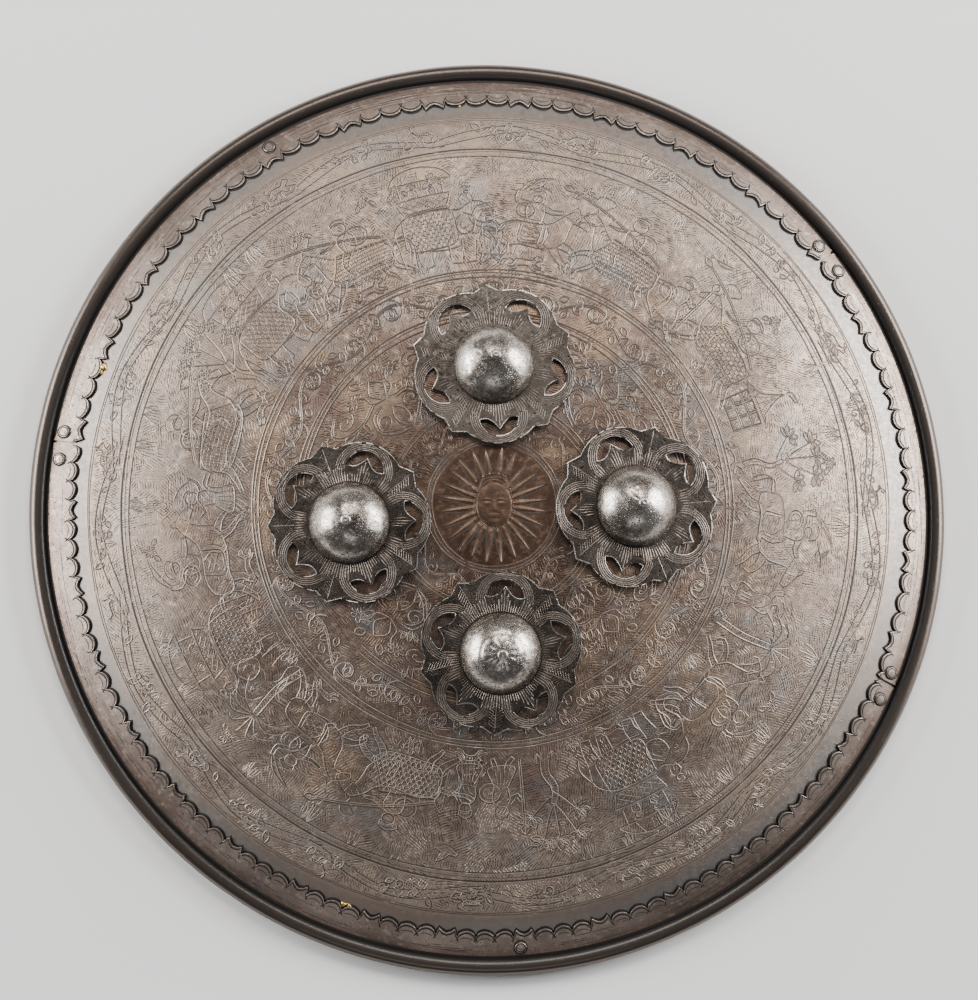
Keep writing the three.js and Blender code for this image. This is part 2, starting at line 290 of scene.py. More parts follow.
def fineHatch(nodes, links, place, hatch, noise, spread):
    # faint graver strokes all over the engraved part, turned another way in every cell
    cells = nodes.new("ShaderNodeTexVoronoi")
    cells.inputs["Scale"].default_value = hatch["cells"]
    links.new(place.outputs["Object"], cells.inputs["Vector"])
    luck = nodes.new("ShaderNodeSeparateColor")
    links.new(cells.outputs["Color"], luck.inputs["Color"])
    turn = nodes.new("ShaderNodeVectorRotate")
    turn.rotation_type = "Z_AXIS"
    links.new(place.outputs["Object"], turn.inputs["Vector"])
    links.new(spread(luck.outputs["Red"], 0, 1, 0, math.pi), turn.inputs["Angle"])
    across = nodes.new("ShaderNodeSeparateXYZ")
    links.new(turn.outputs["Vector"], across.inputs["Vector"])
    phase = nodes.new("ShaderNodeMath")
    phase.operation = "MULTIPLY_ADD"
    links.new(across.outputs["X"], phase.inputs[0])
    phase.inputs[1].default_value = 2 * math.pi / hatch["pitch"]
    links.new(spread(noise(70, 3, 0.5, 4.4), 0, 1, 0, hatch["bend"]), phase.inputs[2])
    wave = nodes.new("ShaderNodeMath")
    wave.operation = "SINE"
    links.new(phase.outputs[0], wave.inputs[0])
    strokes = spread(wave.outputs[0], 0.0, 0.8)
    out = distanceOut(nodes, links, place)
    # fewer in some cells, broken up by wear, none on the sun or the bare ring
    masks = [
        spread(luck.outputs["Green"], 0.1, 0.6, 0.35, 1),
        spread(noise(430, 3, 0.6, 8.8), 0.42, 0.58, 0.1, 1),
        spread(out, *zoneReach["hatchIn"]),
        spread(out, *zoneReach["hatchOut"]),
    ]
    for mask in masks:
        strokes = product(nodes, links, strokes, mask)
    return strokes


usualSteel = {
    # how fine and how deep the marks are, unless a finish says otherwise
    "cloudScale": 60,
    "wearScale": 260,
    "pitScale": 700,
    "pitFrom": 0.62,
    "grainScale": 1300,
    "grainDepth": 0.02,
    "pitDepth": 0.03,
    "rippleDepth": 0.0,
}


def steelFinish(name, look):
    # patinated steel: cloudy brown over grey, worn light spots, pits, a little grain
    look = {**usualSteel, **look}
    material = bpy.data.materials.new(name)
    material.use_nodes = True
    nodes = material.node_tree.nodes
    links = material.node_tree.links
    shader = nodes["Principled BSDF"]
    shader.inputs["Metallic"].default_value = look["metallic"]
    place = nodes.new("ShaderNodeTexCoord")

    def noise(scale, detail, roughness=0.55, offset=0.0):
        move = nodes.new("ShaderNodeMapping")
        move.inputs["Location"].default_value = (offset, offset * 0.7, -offset)
        links.new(place.outputs["Object"], move.inputs["Vector"])
        texture = nodes.new("ShaderNodeTexNoise")
        texture.inputs["Scale"].default_value = scale
        texture.inputs["Detail"].default_value = detail
        texture.inputs["Roughness"].default_value = roughness
        links.new(move.outputs["Vector"], texture.inputs["Vector"])
        return texture.outputs["Fac"]

    def spread(value, low, high, outLow=0.0, outHigh=1.0):
        ramp = nodes.new("ShaderNodeMapRange")
        ramp.inputs["From Min"].default_value = low
        ramp.inputs["From Max"].default_value = high
        ramp.inputs["To Min"].default_value = outLow
        ramp.inputs["To Max"].default_value = outHigh
        links.new(value, ramp.inputs["Value"])
        return ramp.outputs["Result"]

    def blend(factor, first, second, mode="MIX"):
        mix = nodes.new("ShaderNodeMix")
        mix.data_type = "RGBA"
        mix.blend_type = mode
        # the colour sockets of a Mix node are the seventh and eighth
        if isinstance(factor, float):
            mix.inputs[0].default_value = factor
        else:
            links.new(factor, mix.inputs[0])
        for socket, colour in ((mix.inputs[6], first), (mix.inputs[7], second)):
            if isinstance(colour, tuple):
                socket.default_value = (*colour, 1)
            else:
                links.new(colour, socket)
        return mix.outputs[2]

    clouds = spread(noise(look["cloudScale"], 6), 0.36, 0.64)
    colour = blend(clouds, look["dark"], look["mid"])
    worn = spread(noise(look["wearScale"], 9, 0.7, 3.1), look["wearFrom"], look["wearFrom"] + 0.2)
    colour = blend(worn, colour, look["light"])
    pits = spread(noise(look["pitScale"], 3, 0.5, 7.7), look["pitFrom"], look["pitFrom"] + 0.09)
    colour = blend(pits, colour, look["pit"])
    if "zones" in look:
        colour = look["zones"](nodes, links, place, colour, spread, blend, noise)
    if "hatch" in look:
        strokes = fineHatch(nodes, links, place, look["hatch"], noise, spread)
        colour = blend(strokes, colour, blend(1.0, colour, look["hatch"]["dark"], "MULTIPLY"))
    links.new(colour, shader.inputs["Base Color"])

    gloss = spread(noise(look["wearScale"] * 1.7, 7, 0.6, 5.3), 0.3, 0.7, *look["roughness"])
    if "rollGloss" in look:
        # the roll is glossier, and less metallic on its inner side, which is painted near black for shade;
        # its outer side is polished by handling
        out = distanceOut(nodes, links, place)
        onRoll = spread(out, *zoneReach["glossRoll"])
        black = spread(onRoll, 0, 1, look["metallic"], look["rollMetal"])
        outside = spread(out, *zoneReach["glossOutside"])
        links.new(mixValues(nodes, links, outside, black, look["metallic"]), shader.inputs["Metallic"])
        gloss = mixValues(nodes, links, onRoll, gloss, look["rollGloss"])
    links.new(gloss, shader.inputs["Roughness"])

    # three depths of unevenness: pits, grain, and a soft ripple
    grain = spread(noise(look["grainScale"], 5, 0.65, 1.9), 0, 1, 0, look["grainDepth"])
    ripple = noise(look["cloudScale"] * 3.1, 2, 0.5, 9.2)
    height = nodes.new("ShaderNodeMath")
    height.operation = "MULTIPLY_ADD"
    links.new(pits, height.inputs[0])
    height.inputs[1].default_value = -look["pitDepth"]
    links.new(grain, height.inputs[2])
    total = nodes.new("ShaderNodeMath")
    total.operation = "MULTIPLY_ADD"
    links.new(ripple, total.inputs[0])
    total.inputs[1].default_value = look["rippleDepth"]
    links.new(height.outputs[0], total.inputs[2])
    if "hatch" in look:
        cut = nodes.new("ShaderNodeMath")
        cut.operation = "MULTIPLY_ADD"
        links.new(strokes, cut.inputs[0])
        cut.inputs[1].default_value = -look["hatch"]["depth"]
        links.new(total.outputs[0], cut.inputs[2])
        total = cut
    bump = nodes.new("ShaderNodeBump")
    bump.inputs["Strength"].default_value = 1.0
    bump.inputs["Distance"].default_value = mm
    links.new(total.outputs[0], bump.inputs["Height"])
    links.new(bump.outputs["Normal"], shader.inputs["Normal"])
    return material


zoneLook = {
    "middle": (0.42, 0.34, 0.30),  # a darker, redder brown towards the middle, multiplied in
    "ringColour": (0.268, 0.232, 0.205),  # the bare ring inside the border
    "ringEdge": (0.205, 0.200, 0.196),  # bluer where it meets the border
    "patchColour": (0.255, 0.25, 0.245),
    # painted shade: near black on the roll's inner side
    "rollInsideShade": (0.010, 0.008, 0.007),
    "rollOutside": (0.095, 0.075, 0.063),
    "rollEdgeHighlight": (0.17, 0.145, 0.13),  # the outermost line, a painted highlight
    "rimPaintedHighlight": (0.50, 0.415, 0.35),  # painted highlight: the engraving is lighter towards the rim
    "ringTopFootShade": (0.70, 0.64, 0.61),  # painted shade: the bare ring is darker at the top and foot
    "sunGround": (0.84, 0.75, 0.68),
    "mottles": [
        # patches of another patina: how fine, where, how few, colour, strength
        (48, 21.3, 0.54, (0.198, 0.200, 0.200), 0.45),
        (36, 33.1, 0.55, (0.390, 0.268, 0.175), 0.42),
        (30, 44.7, 0.56, (0.185, 0.118, 0.100), 0.45),
    ],
}


zoneReach = {
    # metres from the axis where each zone starts and is full
    "middle": (0.13, 0.045),
    "patches": (0.10, 0.13),
    "offTheSun": (0.030, 0.036),
    "sunGround": (0.0312, 0.0304),
    "rimPaintedHighlight": (0.140, 0.190),
    "ring": (0.1985, 0.2030),
    "ringTopFootShade": (0.198, 0.203),
    "ringShadeReach": (0.13, 0.20),  # measured up and down from the middle instead
    "ringEdge": (0.2015, 0.2085),
    "rollInsideShade": (0.2195, 0.2212),
    "rollOutside": (0.2235, 0.2275),
    "rollEdgeHighlight": (0.2282, 0.2296),
    "hatchIn": (0.033, 0.036),
    "hatchOut": (0.201, 0.198),
    "glossRoll": (0.2195, 0.2215),
    "glossOutside": (0.2240, 0.2275),
}


def plateZones(nodes, links, place, colour, spread, blend, noise):
    # darker, redder brown towards the middle, grey bare ring inside the border, near-black roll; painted
    # highlights towards the rim and along the roll's outermost line, painted shade on the bare ring's top and
    # foot and on the roll's inner side
    out = distanceOut(nodes, links, place)

    def zone(name, strength=1.0):
        return spread(out, *zoneReach[name], 0.0, strength)

    colour = blend(zone("middle", 0.8), colour, zoneLook["middle"], "MULTIPLY")
    sparse = spread(noise(30, 2, 0.4, 12.4), 0.62, 0.72, 0.0, 0.5)
    patches = product(nodes, links, sparse, zone("patches"))
    colour = blend(patches, colour, zoneLook["patchColour"])
    offTheSun = zone("offTheSun")
    for scale, offset, few, tint, strength in zoneLook["mottles"]:
        cloud = spread(noise(scale, 3, 0.5, offset), few, few + 0.12, 0.0, strength)
        colour = blend(product(nodes, links, cloud, offTheSun), colour, tint)
    # painted highlight towards the rim
    colour = blend(zone("rimPaintedHighlight", 0.32), colour, zoneLook["rimPaintedHighlight"])
    colour = blend(zone("ring", 0.6), colour, zoneLook["ringColour"])
    split = nodes.new("ShaderNodeSeparateXYZ")
    links.new(place.outputs["Object"], split.inputs["Vector"])
    away = nodes.new("ShaderNodeMath")
    away.operation = "ABSOLUTE"
    links.new(split.outputs["Y"], away.inputs[0])
    # painted shade on the bare ring's top and foot
    topAndFoot = spread(away.outputs[0], *zoneReach["ringShadeReach"])
    ringShade = product(nodes, links, topAndFoot, zone("ringTopFootShade"))
    colour = blend(ringShade, colour, zoneLook["ringTopFootShade"], "MULTIPLY")
    uneven = spread(noise(14, 2, 0.4, 2.4), 0.35, 0.6, 0.2, 0.9)
    colour = blend(product(nodes, links, uneven, zone("ringEdge")), colour, zoneLook["ringEdge"])
    # painted shade: near black on the roll's inner side
    colour = blend(zone("rollInsideShade", 0.98), colour, zoneLook["rollInsideShade"])
    colour = blend(zone("rollOutside", 0.9), colour, zoneLook["rollOutside"])
    colour = blend(zone("sunGround"), colour, zoneLook["sunGround"], "MULTIPLY")
    # painted highlight on the roll's outermost line
    return blend(zone("rollEdgeHighlight", 0.8), colour, zoneLook["rollEdgeHighlight"])


plateFinish = steelFinish("plateSteel", {
    "metallic": 0.85,
    "dark": (0.138, 0.099, 0.078),
    "mid": (0.252, 0.187, 0.147),
    "light": (0.47, 0.378, 0.313),
    "pit": (0.06, 0.042, 0.034),
    "cloudScale": 22,
    "wearScale": 240,
    "wearFrom": 0.505,
    "pitScale": 900,
    "pitFrom": 0.64,
    "grainDepth": 0.04,
    "pitDepth": 0.06,
    "rippleDepth": 0.10,
    "roughness": (0.38, 0.54),
    "rollGloss": 0.30,
    "rollMetal": 0.2,
    "zones": plateZones,
    "hatch": {"cells": 66, "pitch": 0.00122, "bend": 20, "dark": (0.25, 0.212, 0.19), "depth": 0.085},
})
burrFinish = steelFinish("burrSteel", {
    "metallic": 0.9,
    "dark": (0.20, 0.157, 0.128),
    "mid": (0.315, 0.255, 0.212),
    "light": (0.50, 0.425, 0.36),
    "pit": (0.10, 0.075, 0.06),
    "cloudScale": 22,
    "wearScale": 160,
    "wearFrom": 0.50,
    "roughness": (0.42, 0.54),
    "zones": plateZones,
})
dirtFinish = steelFinish("cutDirt", {
    "metallic": 0.1,
    "dark": (0.026, 0.018, 0.014),
    "mid": (0.036, 0.026, 0.021),
    "light": (0.075, 0.055, 0.044),
    "pit": (0.01, 0.008, 0.007),
    "cloudScale": 30,
    "wearScale": 200,
    "wearFrom": 0.56,
    "pitDepth": 0.02,
    "roughness": (0.6, 0.8),
})
# near black: painted shadow at the border's foot and at its join with the roll, and dirt in engraved cuts
shadowAndCutDirtFinish = steelFinish("paintedShadowAndCutDirt", {
    "metallic": 0.1,
    "dark": (0.006, 0.005, 0.004),
    "mid": (0.010, 0.008, 0.007),
    "light": (0.03, 0.024, 0.02),
    "pit": (0.004, 0.003, 0.003),
    "cloudScale": 30,
    "wearScale": 240,
    "wearFrom": 0.6,
    "pitDepth": 0.02,
    "roughness": (0.6, 0.8),
})


# painted shade: the border goes redder and darker towards the roll
borderRollShade = {"from": 0.2160, "to": 0.2207, "share": 0.8, "tint": (0.66, 0.54, 0.49)}


def borderZones(nodes, links, place, colour, spread, blend, noise):
    # redder towards the roll, and darker there with painted shade
    out = distanceOut(nodes, links, place)
    near = spread(out, borderRollShade["from"], borderRollShade["to"], 0.0, borderRollShade["share"])
    return blend(near, colour, borderRollShade["tint"], "MULTIPLY")


borderFinish = steelFinish("borderSteel", {
    "metallic": 0.85,
    "dark": (0.19, 0.145, 0.12),
    "mid": (0.29, 0.23, 0.195),
    "light": (0.44, 0.375, 0.33),
    "pit": (0.06, 0.042, 0.036),
    "cloudScale": 40,
    "wearFrom": 0.53,
    "pitScale": 1100,
    "grainScale": 1500,
    "grainDepth": 0.04,
    "pitDepth": 0.05,
    "rippleDepth": 0.06,
    "roughness": (0.36, 0.5),
    "zones": borderZones,
})
lipFinish = steelFinish("borderLip", {
    "metallic": 0.9,
    "dark": (0.19, 0.15, 0.125),
    "mid": (0.27, 0.22, 0.185),
    "light": (0.44, 0.385, 0.34),
    "pit": (0.08, 0.06, 0.05),
    "cloudScale": 40,
    "wearFrom": 0.5,
    "pitScale": 1100,
    "pitFrom": 0.6,
    "grainScale": 1500,
    "grainDepth": 0.03,
    "pitDepth": 0.04,
    "roughness": (0.32, 0.46),
})
rosetteFinish = steelFinish("rosetteSteel", {
    "metallic": 0.85,
    "dark": (0.046, 0.038, 0.032),
    "mid": (0.092, 0.079, 0.068),
    "light": (0.26, 0.23, 0.205),
    "pit": (0.012, 0.009, 0.007),
    "wearScale": 300,
    "wearFrom": 0.54,
    "pitFrom": 0.60,
    "grainScale": 1500,
    "grainDepth": 0.05,
    "pitDepth": 0.12,
    "rippleDepth": 0.08,
    "roughness": (0.36, 0.5),
})
# painted shade: a darker copy of the rosette steel
shadedRosetteFinish = steelFinish("rosetteSteelShaded", {
    "metallic": 0.85,
    "dark": (0.038, 0.031, 0.027),
    "mid": (0.082, 0.068, 0.058),
    "light": (0.20, 0.172, 0.148),
    "pit": (0.010, 0.008, 0.006),
    "wearScale": 300,
    "wearFrom": 0.56,
    "pitFrom": 0.58,
    "grainScale": 1500,
    "grainDepth": 0.05,
    "pitDepth": 0.12,
    "rippleDepth": 0.08,
    "roughness": (0.34, 0.5),
})
# bright steel for the boss pins, and painted highlights along the rosette edges
pinSteelAndEdgeHighlightFinish = steelFinish("pinSteelAndEdgeHighlights", {
    "metallic": 0.95,
    "dark": (0.22, 0.20, 0.18),
    "mid": (0.46, 0.435, 0.405),
    "light": (0.74, 0.72, 0.69),
    "pit": (0.12, 0.10, 0.09),
    "cloudScale": 80,
    "wearScale": 400,
    "wearFrom": 0.5,
    "pitScale": 900,
    "grainScale": 1500,
    "roughness": (0.28, 0.4),
})
chasedFinish = steelFinish("rosetteChasing", {
    "metallic": 0.85,
    "dark": (0.13, 0.103, 0.085),
    "mid": (0.235, 0.192, 0.160),
    "light": (0.40, 0.345, 0.295),
    "pit": (0.06, 0.048, 0.04),
    "wearFrom": 0.50,
    "pitFrom": 0.60,
    "roughness": (0.34, 0.48),
})
bossFinish = steelFinish("bossSteel", {
    "metallic": 0.95,
    "dark": (0.19, 0.16, 0.135),
    "mid": (0.42, 0.38, 0.34),
    "light": (0.72, 0.68, 0.62),
    "pit": (0.035, 0.028, 0.024),
    "cloudScale": 70,
    "wearScale": 350,
    "wearFrom": 0.5,
    "pitScale": 1250,
    "pitFrom": 0.572,
    "grainScale": 1800,
    "grainDepth": 0.03,
    "pitDepth": 0.05,
    "rippleDepth": 0.06,
    "roughness": (0.21, 0.31),
})
print("finishes made")


def plateRings():
    angles = np.arange(plate["columns"]) * 2 * math.pi / plate["columns"]
    degrees = np.degrees(angles)
    rings = []
    for r in np.linspace(2.0, edgeX, 104):
        rings.append(onPlate(polar(r, degrees), 0.0))
    flat = math.degrees(math.acos(rollZ / plate["rollRadius"]))
    seam = plate["seam"]
    over = np.linspace(plate["rollStart"], flat - 90, 32)[1:]
    under = np.linspace(270 - flat, plate["rollEnd"], 8)
    for at in np.concatenate([over, under]):
        dip = seam["depth"] * math.exp(-(((at - seam["at"]) / seam["width"]) ** 2))
        worn = 0.05 * (1 + np.sin(angles * 37) * np.sin(angles * 11 + 1))
        reach = plate["rollRadius"] - dip - (worn if -60 < at < 150 else 0)
        r = rollX + reach * math.cos(math.radians(at))
        z = np.maximum(rollZ + reach * math.sin(math.radians(at)) + 0 * angles, 0)
        rings.append(np.stack([r * np.cos(angles), r * np.sin(angles), z], axis=-1))
    for r in np.linspace(edgeX - 1.2, 2.0, 22):
        rings.append(onPlate(polar(r, degrees), -plate["thickness"]))
    return rings


def buildPlate():
    rings = plateRings()
    rows, columns = len(rings), plate["columns"]
    middle = np.zeros((1, 2))
    verts = np.concatenate(rings + [onPlate(middle, 0.0), onPlate(middle, -plate["thickness"])])
    j = np.arange(columns)
    last = (rows - 1) * columns
    top = np.stack([np.full(columns, rows * columns), j, (j + 1) % columns], axis=-1)
    bottom = np.stack([np.full(columns, rows * columns + 1), last + (j + 1) % columns, last + j], axis=-1)
    tris = np.concatenate([top, bottom])
    piece = makeMesh("plate", verts, gridQuads(rows, columns), tris, plateFinish, sharp=60)
    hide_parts("shield_plate")
    print("plate forged:", len(piece.data.polygons), "faces")


buildPlate()

border = {
    "thickness": 1.0,
    "outerRadius": 220.7,
    "bevel": 0.45,
    "cuspRadius": 211.2,
    "scallopRadius": 208.2,
    "tailRadius": 207.8,
    "notchRadius": 210.0,
    "offCentre": 1.3,  # the whole border sits this far to the right
    "scallops": 3,
    "scallopSteps": 9,
    "tailShare": 0.27,
    "tailPoint": 0.12,
    "jointGap": 0.35,
    "unevenness": 0.22,  # mm, from one hand-cut scallop to the next
    "rivetRing": 216,
    "footShadowWidth": 1.35,  # the black line of painted shadow and old dirt along the foot of the edge
    "marksEach": 1.3,  # turning marks in every degree
}
rivet = {
    "head": 3.0,
    "headHeight": 0.6,
    "shank": 1.5,
    "groove": 2.25,
    "grooveDepth": 0.4,
    "columns": 40,
}
borderTop = fitGap + border["thickness"]
borderLengths = [
    {"name": "right", "start": -22.3, "end": 38, "pitch": 11.2, "phase": 0.39,
     "rivets": [-20.9, 35.5]},
    {"name": "top", "start": 38, "end": 170.3, "pitch": 11.8, "phase": 0.82,
     "rivets": [39.7, 120.6, 168.9]},
    {"name": "bottom", "start": 170.3, "end": 337.7, "pitch": 10.6, "phase": 0,
     "rivets": [172.6, 274.3, 335.3]},
]


def borderEdge(length):
    # the inner edge as (angle, radius), and the runs between cusps that are scallops
    cusp, deep = border["cuspRadius"], border["scallopRadius"]
    point, tailRadius = border["tailPoint"], border["tailRadius"]
    tailAt = 1 - border["tailShare"]
    scallopShare = tailAt / border["scallops"]
    stations = []
    scallops = []
    first = length["start"] + border["jointGap"] / 2
    last = length["end"] - border["jointGap"] / 2
    repeats = math.ceil((length["end"] - length["start"]) / length["pitch"]) + 1
    for repeat in range(repeats):
        for scallop in range(border["scallops"]):
            start = length["start"] + (repeat + scallop * scallopShare - length["phase"]) * length["pitch"]
            span = scallopShare * length["pitch"]
            grow = dice.uniform(-1, 1) * border["unevenness"]
            lean = dice.uniform(-0.06, 0.06)
            for step in range(border["scallopSteps"]):
                along = step / border["scallopSteps"]
                bulge = math.sin(math.pi * min(max(along + lean * math.sin(math.pi * along), 0), 1)) ** 0.6
                stations.append((start + along * span, cusp - (cusp - deep + grow) * bulge))
            scallops.append((start, start + span, cusp, deep - grow))
        tail = [(0, cusp), (0.06, cusp - 1.7), (point, tailRadius), (0.3, tailRadius + 1.5),
                (0.5, border["notchRadius"]), (0.7, tailRadius + 1.5), (1 - point, tailRadius),
                (0.94, cusp - 1.7)]
        for along, radius in tail:
            share = tailAt + along * border["tailShare"]
            angle = length["start"] + (repeat + share - length["phase"]) * length["pitch"]
            stations.append((angle, radius + dice.uniform(-0.5, 0.5) * border["unevenness"]))
    stations = [(a, r) for a, r in stations if first + 0.15 < a < last - 0.15]
    stations = [(first, cusp)] + stations + [(last, cusp)]
    inside = [s for s in scallops if first < s[0] and s[1] < last]
    angles = np.array([a for a, r in stations])
    radii = np.array([r for a, r in stations]) + border["offCentre"] * np.cos(np.radians(angles))
    return angles, radii, inside


def buildBorder(length):
    angles, radii, scallops = borderEdge(length)
    outer = border["outerRadius"]
    rings = []
    section = [(0.0, fitGap), (0.0, borderTop - 0.35), (0.4, borderTop)]
    for inset, h in section:
        rings.append((radii + inset, h))
    for share in (0.3, 0.55, 0.8):
        rings.append((radii + 0.4 + (outer - border["bevel"] - radii - 0.4) * share, borderTop))
    rings.append((0 * radii + outer - border["bevel"], borderTop))
    rings.append((0 * radii + outer, borderTop - 0.5))
    rings.append((0 * radii + outer, fitGap))
    corners = []
    for radius, h in rings:
        flat = polar(radius, angles)
        corners.append(offDome(flat[:, 0], flat[:, 1], h))
    # stations along the border, corners round its section
    verts = np.stack(corners, axis=1).reshape(-1, 3)
    quads = gridQuads(len(angles), len(rings))[:, ::-1]
    around = np.arange(len(rings))
    start = np.stack([0 * around[1:-1], around[1:-1], around[2:]], axis=-1)
    end = (len(angles) - 1) * len(rings) + start[:, ::-1]
    piece = makeMesh("band_" + length["name"], verts, quads, np.concatenate([start[:, ::-1], end[:, ::-1]]),
                     borderFinish, sharp=28)
    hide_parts("border_" + length["name"])
    lines, cuts = borderStrokes(length, angles, radii, scallops)
    engrave("band_lines_" + length["name"], lines, onBorderFlat, lipFinish)
    engrave("band_cuts_" + length["name"], cuts, onBorderFlat, shadowAndCutDirtFinish)
    # painted shadow on the plate along the foot of the scalloped edge
    sole = [(polar(radii - border["footShadowWidth"] * 0.3, angles), border["footShadowWidth"], 0.12)]
    engrave("band_foot_shadow_" + length["name"], sole, onPlate, shadowAndCutDirtFinish)


def onBorderFlat(xy, h):
    return offDome(xy[:, 0], xy[:, 1], borderTop + h)


borderCuts = {
    # width and height of each kind of stroke
    "lip": (0.42, 0.05),
    "chased": (0.78, 0.04),
    "hook": (0.7, 0.04),
    "innerArc": (0.34, 0.03),
    "gap": (1.0, 0.03),  # painted shadow: the dark line where the border meets the roll
    "rivetRing": (0.6, 0.05),
    "turningMark": (0.27, 0.03),
}


def borderStrokes(length, angles, radii, scallops):
    lines, cuts = [], []
    # the worn lip of the cut edge, and the chased line that follows it
    lines.append((polar(radii + 0.36, angles), *borderCuts["lip"]))
    cuts.append((polar(radii + 0.88, angles), *borderCuts["chased"]))
    for start, end, cusp, deep in scallops:
        shift = border["offCentre"] * math.cos(math.radians((start + end) / 2))
        # a small hook where two scallops meet
        for at, lean in ((start, 0.22), (end, -0.22)):
            hook = polar(cusp + shift + np.array([-0.2, 1.3, 2.1]), at + lean * np.array([0.0, 0.4, 1.2]))
            cuts.append((hook, *borderCuts["hook"]))
        if dice.uniform() < 0.6:
            # a faint second arc inside
            share = np.linspace(0.15, 0.85, 6)
            bulge = np.sin(math.pi * share) ** 0.7
            degrees = start + share * (end - start)
            inner = cusp + shift + 2.3 - (cusp - deep) * 0.7 * bulge
            cuts.append((polar(inner, degrees), *borderCuts["innerArc"]))
    first, last = angles[0] + 0.3, angles[-1] - 0.3
    whole = np.linspace(first, last, int(last - first))
    # painted shadow where the border meets the roll
    cuts.append((polar(border["outerRadius"] - 0.55 + 0 * whole, whole), *borderCuts["gap"]))
    for degrees in length["rivets"]:
        ring = arc(polar(border["rivetRing"], degrees), rivet["head"] + 0.25, 0, 365, 0.9)
        cuts.append((ring, *borderCuts["rivetRing"]))
    # turning marks left along the border
    for _ in range(int((last - first) * border["marksEach"])):
        start, span = dice.uniform(first, last - 9), dice.uniform(2, 8)
        radius = dice.uniform(212.8, 219.4)
        byRivet = any(start - 1.3 < at < start + span + 1.3 for at in length["rivets"])
        if byRivet and abs(radius - border["rivetRing"]) < 4:
            continue
        degrees = np.linspace(start, start + span, max(3, round(span * 0.7)))
        mark = polar(radius + np.linspace(0, dice.uniform(-0.4, 0.4), len(degrees)), degrees)
        marked = lines if dice.uniform() < 0.55 else cuts
        marked.append((mark, *borderCuts["turningMark"]))
    return lines, cuts


def buildBorderRivets():
    foot = borderTop + fitGap
    back = -(plate["thickness"] + fitGap)
    top = foot + rivet["headHeight"]
    head, shank = rivet["head"], rivet["shank"]
    groove, deep = rivet["groove"], rivet["grooveDepth"]
    profile = [
        (0, top), (groove * 0.45, top - 0.02), (groove - 0.25, top - 0.08), (groove - 0.05, top - deep),
        (groove + 0.1, top - deep), (groove + 0.3, top - 0.08), (head - 0.25, top - 0.1),
        (head - 0.05, top - 0.3),
        (head, foot), (shank, foot), (shank, back), (head * 0.85, back), (head * 0.8, back - 0.35),
        (head * 0.6, back - 0.6), (0, back - 0.6),
    ]
    number = 0
    for length in borderLengths:
        for degrees in length["rivets"]:
            number += 1
            verts, quads, tris = turnedMesh(profile, rivet["columns"])
            seat = seatOn(border["rivetRing"], degrees)
            name = "band_rivet_%d" % number
            piece = makeMesh(name, fromSeat(seat, verts), quads, tris, lipFinish, sharp=35)
            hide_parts("border_rivet_%d" % number)
            ring = [(arc((0, 0), rivet["groove"] + 0.1, 0, 365, 0.7), 0.45, 0.03)]

            def onRivet(xy, h, seat=seat):
                return fromSeat(seat, np.column_stack([xy, top - 0.1 + h + 0 * xy[:, 0]]))

            engrave(name + "_ring", ring, onRivet, shadowAndCutDirtFinish)


goldLeft = {
    # where specks of old gilding are left along the scallops: degrees, radius, size
    "specks": [(159.0, 206.9, 2.1), (159.8, 207.3, 1.5), (249.6, 208.2, 1.5),
               (250.4, 207.9, 1.0), (94, 208.3, 0.7)],
    "height": 0.8,
}
goldFinish = steelFinish("oldGilding", {
    "metallic": 1.0,
    "dark": (0.34, 0.18, 0.04),
    "mid": (0.72, 0.42, 0.11),
    "light": (0.95, 0.68, 0.28),
    "pit": (0.10, 0.06, 0.03),
    "cloudScale": 400,
    "wearScale": 900,
    "wearFrom": 0.45,
    "pitScale": 1500,
    "pitFrom": 0.58,
    "grainScale": 2500,
    "grainDepth": 0.06,
    "pitDepth": 0.1,
    "rippleDepth": 0.1,
    "roughness": (0.25, 0.4),
})


def buildGold():
    for number, (degrees, radius, size) in enumerate(goldLeft["specks"]):
        tall = goldLeft["height"] * size
        profile = [(0, tall), (size * 0.5, tall * 0.85), (size * 0.9, tall * 0.4), (size, 0),
                   (size * 0.7, -0.1), (0, -0.1)]
        verts, quads, tris = turnedMesh(profile, 14)
        verts[:, :2] *= 1 + 0.25 * np.sin(np.arctan2(verts[:, 1], verts[:, 0]) * 3 + number)[:, None]
        seat = seatOn(radius, degrees)
        makeMesh("gold_speck_%d" % (number + 1), fromSeat(seat, verts), quads, tris,
                 goldFinish, sharp=60)


for length in borderLengths:
    buildBorder(length)
buildBorderRivets()
buildGold()
print("border laid")

rosette = {
    "thickness": 1.2,
    "lobes": 5,
    "lobeReach": 41,
    "lobeRadius": 23,
    "lobeHalfAngle": 26,
    "cuspReach": 41,
    "chamfer": 0.35,
    "grid": 0.8,  # mm between the points of the upper face
    "pits": 380,
    "pitDepth": 0.28,
}
crescent = {"reach": 37, "radius": 9.8, "tipAngle": 84, "spikeReach": 33.6, "scoopDepth": 2.4}
bossSeats = [
    {"name": "right", "distance": 71, "angle": 0.2, "lobe": 185, "pitted": (60, 0.7)},
    {"name": "top", "distance": 71, "angle": 90, "lobe": 275, "pitted": (120, 1.0)},
    {"name": "left", "distance": 72.4, "angle": 187.1, "lobe": 2, "pitted": (110, 0.9)},
    {"name": "bottom", "distance": 73.5, "angle": 272.6, "lobe": 86, "pitted": (40, 0.25)},
]


def turned2d(points, degrees):
    turn = math.radians(degrees)
    spun = np.array([[math.cos(turn), math.sin(turn)], [-math.sin(turn), math.cos(turn)]])
    return np.asarray(points, float) @ spun


